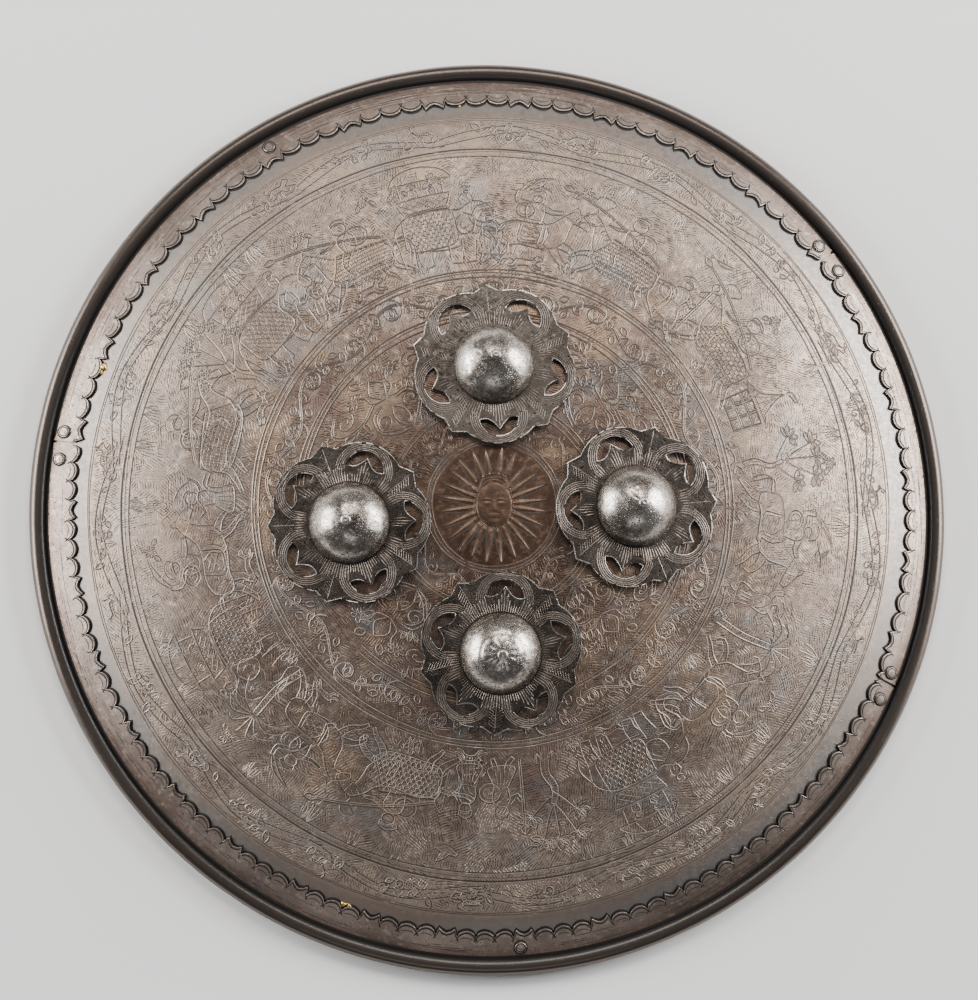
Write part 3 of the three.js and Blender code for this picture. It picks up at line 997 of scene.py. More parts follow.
def evenly(points, step, closed=True):
    # the same outline with more points, its corners kept
    points = np.asarray(points, float)
    nexts = np.roll(points, -1, axis=0) if closed else points[1:]
    out = []
    for a, b in zip(points, nexts):
        count = max(1, math.ceil(float(np.linalg.norm(b - a)) / step))
        out.append(a + (b - a) * (np.arange(count) / count)[:, None])
    return np.concatenate(out)


def rosetteOutline():
    centre = rosette["lobeReach"] - rosette["lobeRadius"]
    half = math.radians(rosette["lobeHalfAngle"])
    reach = centre * math.cos(half) + math.sqrt(rosette["lobeRadius"] ** 2 - (centre * math.sin(half)) ** 2)
    sweep = math.degrees(math.atan2(reach * math.sin(half), reach * math.cos(half) - centre))
    points = []
    for lobe in range(rosette["lobes"]):
        lobeArc = arc((centre, 0), rosette["lobeRadius"], -sweep, sweep, 1.0)
        points.append(turned2d(lobeArc, lobe * 72))
        points.append(turned2d([[rosette["cuspReach"], 0]], (lobe + 0.5) * 72))
    return evenly(np.concatenate(points), 0.9)


def crescentHole(degrees):
    centre = crescent["reach"] - crescent["radius"]
    far = arc((centre, 0), crescent["radius"], -crescent["tipAngle"], crescent["tipAngle"], 0.8)
    tip = far[-1]
    spike = np.array([crescent["spikeReach"], 0.0])
    share = np.linspace(0, 1, 9)[1:-1, None]
    scoop = tip + (spike - tip) * share
    scoop[:, 0] -= crescent["scoopDepth"] * np.sin(math.pi * share[:, 0])
    mirrored = scoop[::-1] * [1, -1]
    return turned2d(np.concatenate([far, scoop, [spike], mirrored]), degrees)


def inset(loop, depth):
    # moves a counter-clockwise loop inwards by depth
    before = np.roll(loop, 1, axis=0)
    after = np.roll(loop, -1, axis=0)
    first = loop - before
    second = after - loop
    first /= np.linalg.norm(first, axis=1)[:, None]
    second /= np.linalg.norm(second, axis=1)[:, None]
    normal = np.stack([-(first + second)[:, 1], (first + second)[:, 0]], axis=-1)
    normal /= np.maximum(np.linalg.norm(normal, axis=1), 0.6)[:, None]
    return loop + normal * depth


def insideLoop(points, loop):
    x, y = points[:, 0:1], points[:, 1:2]
    ax, ay = loop[:, 0], loop[:, 1]
    bx, by = np.roll(ax, -1), np.roll(ay, -1)
    crosses = ((ay > y) != (by > y)) & (x < (bx - ax) * (y - ay) / np.where(by == ay, 1e-12, by - ay) + ax)
    return crosses.sum(axis=1) % 2 == 1


def fillLoops(loops, extra):
    # triangles inside the first loop and outside the others
    points = np.concatenate(loops + [extra])
    edges = []
    start = 0
    for loop in loops:
        count = len(loop)
        edges += [(start + i, start + (i + 1) % count) for i in range(count)]
        start += count
    result = delaunay_2d_cdt([Vector(p) for p in points.tolist()], edges, [], 0, 1e-6)
    placed = np.array([tuple(v) for v in result[0]])
    tris = np.array([tuple(face) for face in result[2]])
    middle = placed[tris].mean(axis=1)
    keep = insideLoop(middle, loops[0])
    for loop in loops[1:]:
        keep &= ~insideLoop(middle, loop)
    return placed, tris[keep]


def rosetteTop(points, seed, where, strength):
    # pits crowd towards one side of the plate
    luck = np.random.default_rng(seed)
    drop = np.zeros(len(points))
    for _ in range(rosette["pits"]):
        side = polar(1.0, where)
        spot = luck.normal(0, 15, 2) + side * 18
        if np.hypot(*spot) > 42:
            continue
        size = luck.uniform(0.5, 1.3)
        far = ((points - spot) ** 2).sum(axis=1)
        drop += luck.uniform(0.3, 1.0) * np.exp(-far / size ** 2)
    return -np.minimum(drop * rosette["pitDepth"] * strength, 0.55)


def buildRosette(number, place):
    outline = rosetteOutline()
    holes = [crescentHole(lobe * 72) for lobe in range(rosette["lobes"])]
    bore = arc((0, 0), 1.9, 0, 345, 0.5)
    loops = [outline] + holes + [bore]
    chamfer = rosette["chamfer"]
    inner = [inset(outline, chamfer)] + [inset(hole, -chamfer) for hole in holes + [bore]]
    step = rosette["grid"]
    x, y = np.meshgrid(np.arange(-42, 42, step), np.arange(-42, 42, step))
    cloud = np.stack([x.ravel(), y.ravel()], axis=-1) + dice.uniform(-0.2, 0.2, (x.size, 2))
    keep = insideLoop(cloud, inset(outline, chamfer + 0.3))
    for hole in holes + [bore]:
        keep &= ~insideLoop(cloud, inset(hole, -chamfer - 0.3))
    low, high = fitGap, fitGap + rosette["thickness"]
    topPoints, topTris = fillLoops(inner, cloud[keep])
    wallCount = sum(len(loop) for loop in loops)
    spin = place["lobe"] - place["angle"]
    where = place["pitted"][0] - place["lobe"]
    lift = rosetteTop(topPoints, 100 + number, where, place["pitted"][1])
    lift[:wallCount] = np.maximum(lift[:wallCount], -0.25)
    top = np.column_stack([topPoints, high + lift])
    wall = np.concatenate(loops)
    upper = np.column_stack([wall, np.full(wallCount, high - chamfer - 0.02)])
    lower = np.column_stack([wall, np.full(wallCount, low)])
    baseTris = fillLoops(loops, np.zeros((0, 2)))[1]
    upperAt = len(top)
    lowerAt = upperAt + wallCount
    quads = []
    start = 0
    for loop in loops:
        i = np.arange(len(loop)) + start
        j = np.roll(i, -1)
        quads.append(np.stack([upperAt + i, upperAt + j, j, i], axis=-1))
        quads.append(np.stack([lowerAt + i, lowerAt + j, upperAt + j, upperAt + i], axis=-1))
        start += len(loop)
    quads = np.concatenate(quads)
    verts = np.concatenate([top, upper, lower])
    # loops of the holes run the same way round as the outline, so their walls are turned over
    flip = np.zeros(len(quads), bool)
    position = 0
    for index, loop in enumerate(loops):
        flip[position:position + 2 * len(loop)] = index > 0
        position += 2 * len(loop)
    quads[flip] = quads[flip][:, ::-1]
    tris = np.concatenate([topTris, baseTris[:, ::-1] + lowerAt])
    seat = seatOn(place["distance"], place["angle"], spin)
    # painted shade: the rosettes other than the top one take the darker copy
    finish = rosetteFinish if place["name"] == "top" else shadedRosetteFinish
    piece = makeMesh("rosette_plate_" + place["name"], fromSeat(seat, verts), quads, tris,
                     finish, sharp=32)
    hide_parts("rosette_" + place["name"])
    return seat, outline, holes, high


rosetteCuts = {
    # width and height of each kind of stroke
    "ray": (0.48, 0.08),
    "rayGroove": (0.42, 0.03),
    "loop": (0.34, 0.06),
    "loopGroove": (0.34, 0.03),
    "rayFrom": 21.0,
    "rayStep": 3.0,  # degrees
    # radius and half the sweep of the leaf lines round a lobe
    "loops": [(11.2, 128), (12.2, 126), (13.2, 122), (14.2, 96)],
}


def rosetteStrokes(outline, holes):
    # engraved hatching from the boss outwards, leaf lines round the lobes, and painted highlights in runs
    # along the edges
    lines, cuts, edges = [], [], []
    centre = crescent["reach"] - crescent["radius"]
    rayFrom, between = rosetteCuts["rayFrom"], rosetteCuts["rayStep"] / 2
    for degrees in np.arange(0, 360, rosetteCuts["rayStep"]):
        lobeAt = (degrees + 36) % 72 - 36
        reach = 30.5 - 3 * abs(lobeAt) / 36 + dice.uniform(-0.8, 0.8)
        if abs(lobeAt) < 19:
            reach = 24.6 + 7 * max(0, 1 - abs(lobeAt) / 9) + dice.uniform(-0.3, 0.3)
        start, end = polar(rayFrom, degrees), polar(reach, degrees + dice.uniform(-0.5, 0.5))
        lines.append((straight(start, end, 6), *rosetteCuts["ray"]))
        start, end = polar(rayFrom, degrees + between), polar(reach - 0.5, degrees + between)
        cuts.append((straight(start, end, 6), *rosetteCuts["rayGroove"]))
    for lobe in range(rosette["lobes"]):
        for radius, sweep in rosetteCuts["loops"]:
            ring = arc((centre - 0.4, 0), radius, -sweep, sweep)
            ring = ring[np.hypot(ring[:, 0], ring[:, 1]) > 21.5]
            near = np.hypot(ring[:, 0], ring[:, 1]) < 40.0
            if near.sum() > 4:
                lines.append((turned2d(ring[near], lobe * 72), *rosetteCuts["loop"]))
                cuts.append((turned2d(ring[near] * 0.985, lobe * 72), *rosetteCuts["loopGroove"]))
        for rung in range(9):
            # slanting strokes on each side of the line to the cusp
            at = 25.5 + rung * 1.45
            for sign in (-1, 1):
                a = np.array([at, 0.4 * sign])
                b = np.array([at - 2.2, 3.4 * sign])
                lines.append((turned2d(straight(a, b, 5), (lobe + 0.5) * 72), *rosetteCuts["loop"]))
        spine = straight([23, 0], [39, 0])
        lines.append((turned2d(spine, (lobe + 0.5) * 72), *rosetteCuts["loop"]))
    for loop, depth in [(outline, 0.2)] + [(hole, -0.22) for hole in holes]:
        # painted highlights along the edge, in runs
        rim = inset(loop, depth)
        rim = np.concatenate([rim, rim[:1]])
        start = 0
        while start < len(rim) - 3:
            end = min(start + int(dice.integers(6, 26)), len(rim))
            edges.append((rim[start:end], dice.uniform(0.16, 0.32), 0.03))
            start = end + int(dice.integers(0, 7))
    return lines, cuts, edges


boss = {
    "radius": 20.2,
    "height": 16.5,
    "shoulder": 1.7,
    "crown": 0.62,
    "wall": 1.3,
    "columns": 120,
    "ripple": 0.07,
}
bossFoot = fitGap + rosette["thickness"] + fitGap
bossRivet = {
    "shank": 1.6,
    "button": 2.7,
    "buttonHeight": 2.4,
    "peen": 4.6,
    "peenHeight": 1.8,
    "columns": 48,
}


def bossTop(r):
    return boss["height"] * (1 - np.minimum(r / boss["radius"], 1) ** boss["shoulder"]) ** boss["crown"]


def buildBoss(number, place, seat):
    bore = bossRivet["shank"] + fitGap
    share = np.sin(np.linspace(math.asin(bore / boss["radius"]), math.pi / 2, 36))
    outer = [(s * boss["radius"], bossFoot + float(bossTop(s * boss["radius"]))) for s in share]
    innerShare = np.linspace(0.93, bore / boss["radius"], 16)
    inner = []
    for s in innerShare:
        r = s * boss["radius"]
        inner.append((r, bossFoot + float(bossTop(r)) - boss["wall"] * (1 + s ** 4)))
    foot = [(boss["radius"] * 0.94, bossFoot)]
    profile = np.array(outer + foot + inner)
    angles = np.arange(boss["columns"]) * 2 * math.pi / boss["columns"]
    luck = np.random.default_rng(300 + number)
    r = profile[:, 0:1] + 0 * angles
    z = profile[:, 1:2] + 0 * angles
    x, y = r * np.cos(angles), r * np.sin(angles)
    dent = np.zeros_like(x)
    for _ in range(14):
        turn, length = luck.uniform(0, 6.3), luck.uniform(5, 16)
        dent += np.sin((x * math.cos(turn) + y * math.sin(turn)) * 6.28 / length + luck.uniform(0, 6.3))
    dent *= boss["ripple"] / 2.6
    for _ in range(120):
        spot = polar(boss["radius"] * math.sqrt(luck.uniform(0.02, 0.98)), luck.uniform(0, 360))
        size = luck.uniform(0.35, 0.8)
        far = (x - spot[0]) ** 2 + (y - spot[1]) ** 2
        dent -= luck.uniform(0.05, 0.2) * np.exp(-far / size ** 2)
    fadeFoot = np.clip((z - bossFoot) / 1.5, 0, 1)
    isOuter = (np.arange(len(profile)) < len(outer))[:, None]
    z = z + np.minimum(dent, 0.0) * fadeFoot * isOuter
    if place["name"] == "bottom":
        # shallow petals round the button
        petals = 0.16 * np.cos(angles * 12) * np.exp(-(((r - 6.2) / 2.6) ** 2))
        z = z + (petals - 0.16) * isOuter * np.exp(-(((r - 6.2) / 3.4) ** 2))
        ring = np.exp(-(((r - 10.6) / 0.55) ** 2)) * 0.22
        z = z - ring * isOuter
    verts = np.stack([x, y, z], axis=-1).reshape(-1, 3)
    rows, columns = len(profile), boss["columns"]
    quads = gridQuads(rows, columns)
    j = np.arange(columns)
    nextJ = (j + 1) % columns
    last = (rows - 1) * columns
    boreWall = np.stack([last + j, j, nextJ, last + nextJ], axis=-1)
    quads = np.concatenate([quads, boreWall])
    piece = makeMesh("boss_cap_" + place["name"], fromSeat(seat, verts), quads, [],
                     bossFinish, sharp=50)
    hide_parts("boss_" + place["name"])


def buildBossRivet(place, seat):
    foot = bossFoot + boss["height"] + fitGap
    back = -(plate["thickness"] + fitGap)
    button, tall = bossRivet["button"], bossRivet["buttonHeight"]
    shank, peen, peenTall = bossRivet["shank"], bossRivet["peen"], bossRivet["peenHeight"]
    top = foot + tall
    profile = [(0, top - 0.25), (0.35, top - 0.2), (0.7, top), (1.1, top - 0.02)]
    for at in np.radians(np.linspace(70, -10, 9)):
        profile.append((button - 1.2 + 1.2 * math.cos(at), foot + 1.0 + 1.25 * math.sin(at)))
    profile += [(button - 0.3, foot + 0.3), (button - 0.5, foot), (shank, foot), (shank, back),
                (peen - 0.3, back), (peen, back - 0.4)]
    for at in np.radians(np.linspace(20, 90, 7)):
        profile.append((peen * math.cos(at), back - peenTall * math.sin(at)))
    profile[-1] = (0, back - peenTall)
    verts, quads, tris = turnedMesh(profile, bossRivet["columns"])
    piece = makeMesh("boss_pin_" + place["name"], fromSeat(seat, verts), quads, tris,
                     pinSteelAndEdgeHighlightFinish, sharp=40)
    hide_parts("boss_rivet_" + place["name"])


for number, place in enumerate(bossSeats):
    seat, outline, holes, high = buildRosette(number, place)

    def onRosette(xy, h, seat=seat, high=high, number=number, place=place):
        drop = rosetteTop(xy, 100 + number, place["pitted"][0] - place["lobe"], place["pitted"][1])
        return fromSeat(seat, np.column_stack([xy, high + h + drop]))

    lines, cuts, edges = rosetteStrokes(outline, holes)
    engrave("rosette_lines_" + place["name"], lines, onRosette, chasedFinish, sunk=0.03)
    engrave("rosette_cuts_" + place["name"], cuts, onRosette, dirtFinish, sunk=0.03)
    engrave("rosette_edge_highlights_" + place["name"], edges, onRosette, pinSteelAndEdgeHighlightFinish, sunk=0.05)
    plain = seatOn(place["distance"], place["angle"])
    buildBoss(number, place, plain)
    buildBossRivet(place, plain)
print("rosettes and bosses set")

# drawings are lists of (points, weight) in millimetres, with v outwards from the shield's middle and
# u to the right of that; weight picks one of these looks
strokeLooks = {
    "outline": {"width": 0.50, "rise": 0.12, "dirt": 0.58},
    "fine": {"width": 0.42, "rise": 0.08, "dirt": 0.36},
    "plain": {"width": 0.42, "rise": 0.09, "dirt": 0.0},
    "scale": {"width": 0.46, "rise": 0.09, "dirt": 0.40},
    "deep": {"width": 0.50, "rise": 0.12, "dirt": 0.95},
}


def wobble(points, amount=0.22):
    points = np.asarray(points, dtype=float)
    return points + dice.normal(0, amount, points.shape)


def draw(drawing, knots, weight="outline", closed=False, step=2.0):
    drawing.append((curve(wobble(knots), step, closed), weight))


def normals(points):
    along = np.gradient(points, axis=0)
    along /= np.maximum(np.linalg.norm(along, axis=1), 1e-9)[:, None]
    return np.stack([-along[:, 1], along[:, 0]], axis=-1)


def limb(drawing, knots, thick, thin, weight="outline"):
    # the two sides of a leg, arm, trunk or branch, closed at its end
    spine = curve(wobble(knots), 2.2)
    half = normals(spine) * np.linspace(thick, thin, len(spine))[:, None] / 2
    drawing.append((np.concatenate([spine + half, (spine - half)[::-1]]), weight))


def circle(drawing, u, v, radius, weight="outline", squash=1.0):
    turn = np.radians(np.arange(0, 375, max(15, min(60, 60 / radius))))
    ring = np.stack([u + radius * np.cos(turn), v + radius * squash * np.sin(turn)], axis=-1)
    drawing.append((ring, weight))


def leaf(drawing, u, v, length, degrees, fat=0.26, rib=True, weight="outline"):
    share = np.linspace(0, 1, 6 if length > 4 else 4)
    side = fat * length * np.sin(math.pi * share) ** 0.8
    for sign in (1, -1):
        half = turned2d(np.stack([share * length, sign * side], axis=-1), degrees) + [u, v]
        drawing.append((half, weight))
    if rib:
        drawing.append((turned2d([[length * 0.15, 0], [length * 0.85, 0]], degrees) + [u, v], "fine"))


def tuft(drawing, u, v, height, blades, spread=70, degrees=90):
    for blade in range(blades):
        turn = degrees + spread * (blade / (blades - 1) - 0.5)
        bend = 0.25 * (blade / (blades - 1) - 0.5)
        reach = height * dice.uniform(0.75, 1.05)
        knots = [[0, 0], [reach * 0.55, bend * reach * 0.2], [reach, -bend * reach * 0.9]]
        knots = turned2d(knots, turn)
        draw(drawing, knots + [u, v], "fine")


def spiral(drawing, u, v, radius, turns, start, hand=1, weight="outline"):
    count = max(6, round(turns * 14 * max(radius, 3) / 5))
    share = np.linspace(0, 1, count)
    r = radius * (1 - 0.82 * share)
    turn = np.radians(start) + hand * share * turns * 2 * math.pi
    drawing.append((np.stack([u + r * np.cos(turn), v + r * np.sin(turn)], axis=-1), weight))


def flower(drawing, u, v, radius, petals=6):
    circle(drawing, u, v, radius * 0.3, "fine")
    for petal in range(petals):
        turn = petal * 2 * math.pi / petals
        leaf(drawing, u + radius * 0.3 * math.cos(turn), v + radius * 0.3 * math.sin(turn),
             radius * 0.75, petal * 360 / petals, 0.33, False)


def tulip(drawing, u, v, size, degrees):
    petals = [
        [(0, 0), (0.25, 0.42), (0.7, 0.45), (1.05, 0.62)],
        [(0, 0), (0.25, -0.42), (0.7, -0.45), (1.05, -0.62)],
        [(0.1, 0.1), (0.6, 0.28), (1.1, 0)],
        [(0.1, -0.1), (0.6, -0.28), (1.1, 0)],
    ]
    for petal in petals:
        drawing.append((curve(turned2d(np.array(petal) * size, degrees) + [u, v], 0.9), "outline"))


def scaleFill(drawing, polygon, pitch=2.5):
    # rows of overlapping scales, as on barding and quilted cloths
    polygon = np.asarray(polygon, float)
    low, high = polygon.min(axis=0), polygon.max(axis=0)
    row = 0
    v = low[1] + 1.2
    while v < high[1] - 0.6:
        u = low[0] + (row % 2) * pitch / 2
        while u < high[0]:
            centre = np.array([[u, v]])
            if insideLoop(centre, polygon)[0]:
                cup = [[-0.42, 0.3], [-0.3, -0.35], [0.3, -0.35], [0.42, 0.3]]
                drawing.append((np.array(cup) * pitch + centre, "scale"))
            u += pitch
        v += pitch * 0.78
        row += 1


def latticeFill(drawing, polygon, pitch=2.6, lean=28):
    # crossing straight cuts, kept inside the outline
    polygon = np.asarray(polygon, float)
    middle = polygon.mean(axis=0)
    for degrees in (lean, 180 - lean):
        for k in np.arange(-30, 30, pitch):
            level = np.stack([np.arange(-30, 30, 1.0), np.full(60, k)], axis=-1)
            line = turned2d(level, degrees) + middle
            inside = insideLoop(line, polygon)
            if inside.sum() > 2:
                run = line[inside]
                drawing.append((run[[0, len(run) // 2, -1]], "fine"))


def bust(drawing, u, v, tall, turn=1):
    # waist, shoulders, head and turban, with folds across the coat
    def at(points):
        return np.array(points, float) * [tall * turn, tall] + [u, v]
    draw(drawing, at([(-0.15, 0), (-0.2, 0.3), (-0.13, 0.48), (0.1, 0.5), (0.19, 0.34), (0.14, 0)]))
    draw(drawing, at([(-0.16, 0.06), (0.0, 0.02), (0.15, 0.06)]), "fine")
    draw(drawing, at([(-0.1, 0.46), (0.04, 0.3), (0.1, 0.1)]), "fine")
    draw(drawing, at([(-0.17, 0.3), (-0.04, 0.2), (0.0, 0.08)]), "fine")
    circle(drawing, u + 0.01 * tall * turn, v + 0.64 * tall, 0.125 * tall, squash=1.1)
    draw(drawing, at([(-0.15, 0.7), (-0.17, 0.8), (-0.02, 0.9), (0.14, 0.82), (0.15, 0.7),
                      (0.0, 0.74), (-0.15, 0.7)]))
    draw(drawing, at([(-0.12, 0.74), (0.0, 0.82), (0.12, 0.8)]), "fine")
    draw(drawing, at([(-0.04, 0.9), (-0.12, 1.02), (-0.24, 1.0)]), "fine")


def horse(drawing, barded):
    draw(drawing, [(-19, 15), (-17, 21), (-10, 23.5), (0, 23), (7, 25), (12, 31), (16, 35)])
    draw(drawing, [(16, 35), (19.5, 33.5), (24, 28.5), (23, 26.5), (19.5, 28), (16, 28.5),
                   (15, 23), (14, 17), (10, 11.5)])
    draw(drawing, [(10, 11.5), (2, 10), (-8, 11), (-14, 10), (-18, 12), (-19, 15)])
    limb(drawing, [(12, 14), (18, 12), (22, 8), (20.5, 5)], 3.6, 1.5)
    limb(drawing, [(9, 12), (12, 7), (17, 3), (20, 0)], 3.6, 1.5)
    limb(drawing, [(-16, 12), (-18, 7), (-23, 3), (-27, 0)], 4.2, 1.6)
    limb(drawing, [(-11, 11), (-12, 5), (-15, 2), (-17, -1)], 4.0, 1.5)
    for reach in (0, 1.8):
        draw(drawing, [(-18.5, 19 - reach), (-25, 20 - reach), (-28 + reach, 14), (-27 + reach, 7)])
    draw(drawing, [(15.3, 35), (16.2, 38), (17.8, 34.6)])
    draw(drawing, [(18.8, 33.8), (17.3, 28.4)], "fine")
    circle(drawing, 19.4, 31.4, 0.5, "fine")
    for knot in range(6):
        draw(drawing, [(7.2 + knot * 1.5, 25.6 + knot * 1.6), (9.4 + knot * 1.4, 23.4 + knot * 1.7)], "fine")
    if barded:
        cloth = [(-18, 22.3), (6, 26), (13.5, 13), (8, 7.5), (-6, 6), (-17.5, 9)]
        draw(drawing, [cloth[0], (-6, 24.2), cloth[1]], "deep")
        draw(drawing, [cloth[1], (10, 19), cloth[2], cloth[3], cloth[4], cloth[5], cloth[0]])
        draw(drawing, [(-17, 10.5), (-6, 7.6), (7.6, 9), (12, 13.6)], "fine")
        scaleFill(drawing, cloth)
    else:
        draw(drawing, [(-8, 23.3), (-9.5, 13), (-3, 11.5), (3, 13), (4.5, 23.8)])
        draw(drawing, [(-7, 22.5), (-8, 14.2), (-3, 13), (1.8, 14.2), (3, 22.8)], "fine")
        latticeFill(drawing, [(-7, 22), (-7.6, 14.6), (1.6, 14.6), (3, 22)])
        for rib in range(4):
            draw(drawing, [(-16 + rib * 1.2, 20 - rib), (-14.5 + rib, 15.5 - rib * 0.6)], "fine")


def rider(barded=True, weapon="lance"):
    drawing = []
    horse(drawing, barded)
    bust(drawing, -1.5, 24.5, 21)
    limb(drawing, [(0, 25), (4, 18.5), (2.5, 12), (5.5, 10)], 4.2, 1.6)
    limb(drawing, [(1.5, 33.5), (6, 31.5), (10.5, 32)], 2.4, 1.4)
    draw(drawing, [(10.5, 31.5), (15, 29), (19, 28)], "fine")
    circle(drawing, -6.2, 30.5, 4.6)
    circle(drawing, -6.2, 30.5, 3.1, "fine")
    circle(drawing, -6.2, 30.5, 1.0, "fine")
    if weapon == "lance":
        for shift in (0, 0.9):
            drawing.append((straight((-17, 24 + shift), (27, 43 + shift)), "outline"))
        leaf(drawing, 26.5, 43.2, 5, 23, 0.3)
        draw(drawing, [(18, 39.8), (16, 44), (11, 42.5), (14, 38.2)])
    else:
        limb(drawing, [(-4, 34), (-9.5, 36.5), (-9, 42)], 2.4, 1.3)
        draw(drawing, [(-9, 42), (-4, 48), (4, 51)])
        draw(drawing, [(-8.2, 41.4), (-2.5, 46.6), (4, 51)])
    return drawing


def elephant():
    drawing = []
    draw(drawing, [(-21, 13), (-20.5, 23), (-12, 29), (0, 29.5), (9, 28.5), (15, 32.5), (21, 29.5), (23, 23)])
    draw(drawing, [(23, 23), (26.5, 15), (24, 7), (27, 3), (30.5, 4.5)])
    draw(drawing, [(19, 18), (22.3, 12), (20.6, 5), (24, 0.6), (30, 1.6)])
    for ring in range(6):
        draw(drawing, [(20.6 + ring * 0.35, 16.6 - ring * 2.2),
                       (25.2 - abs(ring - 2) * 0.3, 16.4 - ring * 2.1)], "fine")
    draw(drawing, [(19, 18), (15, 15.5), (11, 17.5)])
    draw(drawing, [(10, 27.5), (5.5, 22), (8, 15.5), (13.5, 17), (14.5, 24), (10, 27.5)])
    draw(drawing, [(10.5, 25), (8, 21), (10, 17.6), (12.4, 19.5)], "fine")
    draw(drawing, [(20, 18.6), (25, 16.8), (29.5, 18.6)])
    draw(drawing, [(20, 17.4), (25, 15.4), (29.5, 18.6)])
    circle(drawing, 17.6, 25, 0.8, "fine")
    draw(drawing, [(16, 26.8), (17.8, 27.6), (19.6, 26.6)], "fine")
    for foot, top in ((11, 13), (4.5, 10), (-10.5, 10), (-18.5, 13)):
        limb(drawing, [(top * 0.15 + foot - 1, top), (foot, 5), (foot + 0.4, 0.2)], 6.4, 4.8)
    draw(drawing, [(7, 9.5), (0, 8.4), (-8, 9.5)])
    draw(drawing, [(-21, 21), (-25, 14), (-24, 7)])
    cloth = [(-15.5, 28.2), (5, 29.4), (5.5, 11.5), (-5, 9.6), (-16.5, 11)]
    draw(drawing, [cloth[0], (-5, 29.4), cloth[1]], "deep")
    draw(drawing, [cloth[1], (6.2, 20), cloth[2], cloth[3], cloth[4], (-17, 20), cloth[0]])
    scaleFill(drawing, cloth)
    for side in ([(-14, 30), (4, 31)], [(-16, 37.5), (6, 38.5)],
                 [(-14, 30), (-16, 37.5)], [(4, 31), (6, 38.5)]):
        drawing.append((straight(*side), "outline"))
    latticeFill(drawing, [(-14, 30), (4, 31), (6, 38), (-16, 37)], 2.3, 40)
    for post in (-13.5, 3.5):
        drawing.append((straight((post, 38), (post, 46.5)), "outline"))
    draw(drawing, [(-17, 46.5), (-13, 51.5), (-5, 54), (3, 51.5), (7, 46.5)])
    drawing.append((straight((-17, 46.5), (7, 46.5)), "outline"))
    for fold in (-11, -5, 1):
        draw(drawing, [(fold, 47), (fold * 0.55 - 2.2, 53)], "fine")
    bust(drawing, -8.5, 38.2, 8.5)
    bust(drawing, -1.0, 38.4, 8.5, -1)
    bust(drawing, 12, 31, 11)
    return drawing


def soldier(tall=30, arm="spear"):
    drawing = []
    size = tall / 30
    draw(drawing, [(-3, 12), (-5.6, 4.5), (5.2, 4.2), (3, 12)])
    for fold in (-2.6, -0.6, 1.4, 3.2):
        draw(drawing, [(fold * 0.6, 11.4), (fold, 5)], "fine")
    limb(drawing, [(-2.4, 5), (-2.8, 2.6), (-4.2, 0.4)], 2.2, 1.5)
    limb(drawing, [(2.2, 5), (3.0, 2.6), (5.0, 0.4)], 2.2, 1.5)
    bust(drawing, 0, 12, 17)
    limb(drawing, [(2.6, 19), (5.6, 16.4), (7.4, 18.6)], 1.9, 1.2)
    if arm == "spear":
        for shift in (0, 0.8):
            drawing.append((straight((7.4 + shift, 1), (7.4 + shift, 29)), "outline"))
        leaf(drawing, 7.8, 28.6, 4.4, 90, 0.3)
        circle(drawing, -4.6, 15, 4.0)
        circle(drawing, -4.6, 15, 2.5, "fine")
        circle(drawing, -4.6, 15, 0.7, "fine")
    elif arm == "bow":
        draw(drawing, [(8.6, 8.5), (11.8, 13), (10.2, 17.6), (11.8, 22), (8.6, 26.6)])
        drawing.append((straight((8.6, 8.5), (8.6, 26.6)), "fine"))
        limb(drawing, [(-2.4, 19.4), (0.5, 17.5), (8, 17.6)], 1.9, 1.2)
    else:
        limb(drawing, [(-2.6, 19), (-6, 21), (-7, 25)], 1.9, 1.2)
        draw(drawing, [(-7, 25), (-4, 29), (1, 31)])
    return [(points * size, weight) for points, weight in drawing]


def tree(tall=46, kind=0):
    drawing = []
    limb(drawing, [(0, 0), (1.5, tall * 0.2), (-1.5, tall * 0.38), (0.5, tall * 0.55)], 4.2, 2.2)
    draw(drawing, [(0.4, 2), (1.2, tall * 0.2), (-1.0, tall * 0.38)], "fine")
    boughs = [(-1, 0.42, 9, 0.24), (1, 0.46, 10, 0.2), (-1, 0.55, 7, 0.34),
              (1, 0.55, 6, 0.36), (0.1, 0.55, 2, 0.38)]
    for side, start, reach, rise in boughs:
        tip = (side * reach, tall * (start + rise))
        draw(drawing, [(0, tall * start), (side * reach * 0.45, tall * (start + rise * 0.35)), tip])
        for fan in range(5):
            turn = 90 - side * 28 + (fan - 2) * 42
            if kind == 0:
                leaf(drawing, tip[0], tip[1], 5.4, turn, 0.24)
            else:
                aim = math.radians(turn)
                flower(drawing, tip[0] + 3.2 * math.cos(aim), tip[1] + 3.2 * math.sin(aim), 1.9, 5)
    tuft(drawing, -3.5, 0, 5, 4)
    tuft(drawing, 3.8, 0, 4.6, 4)
    return drawing


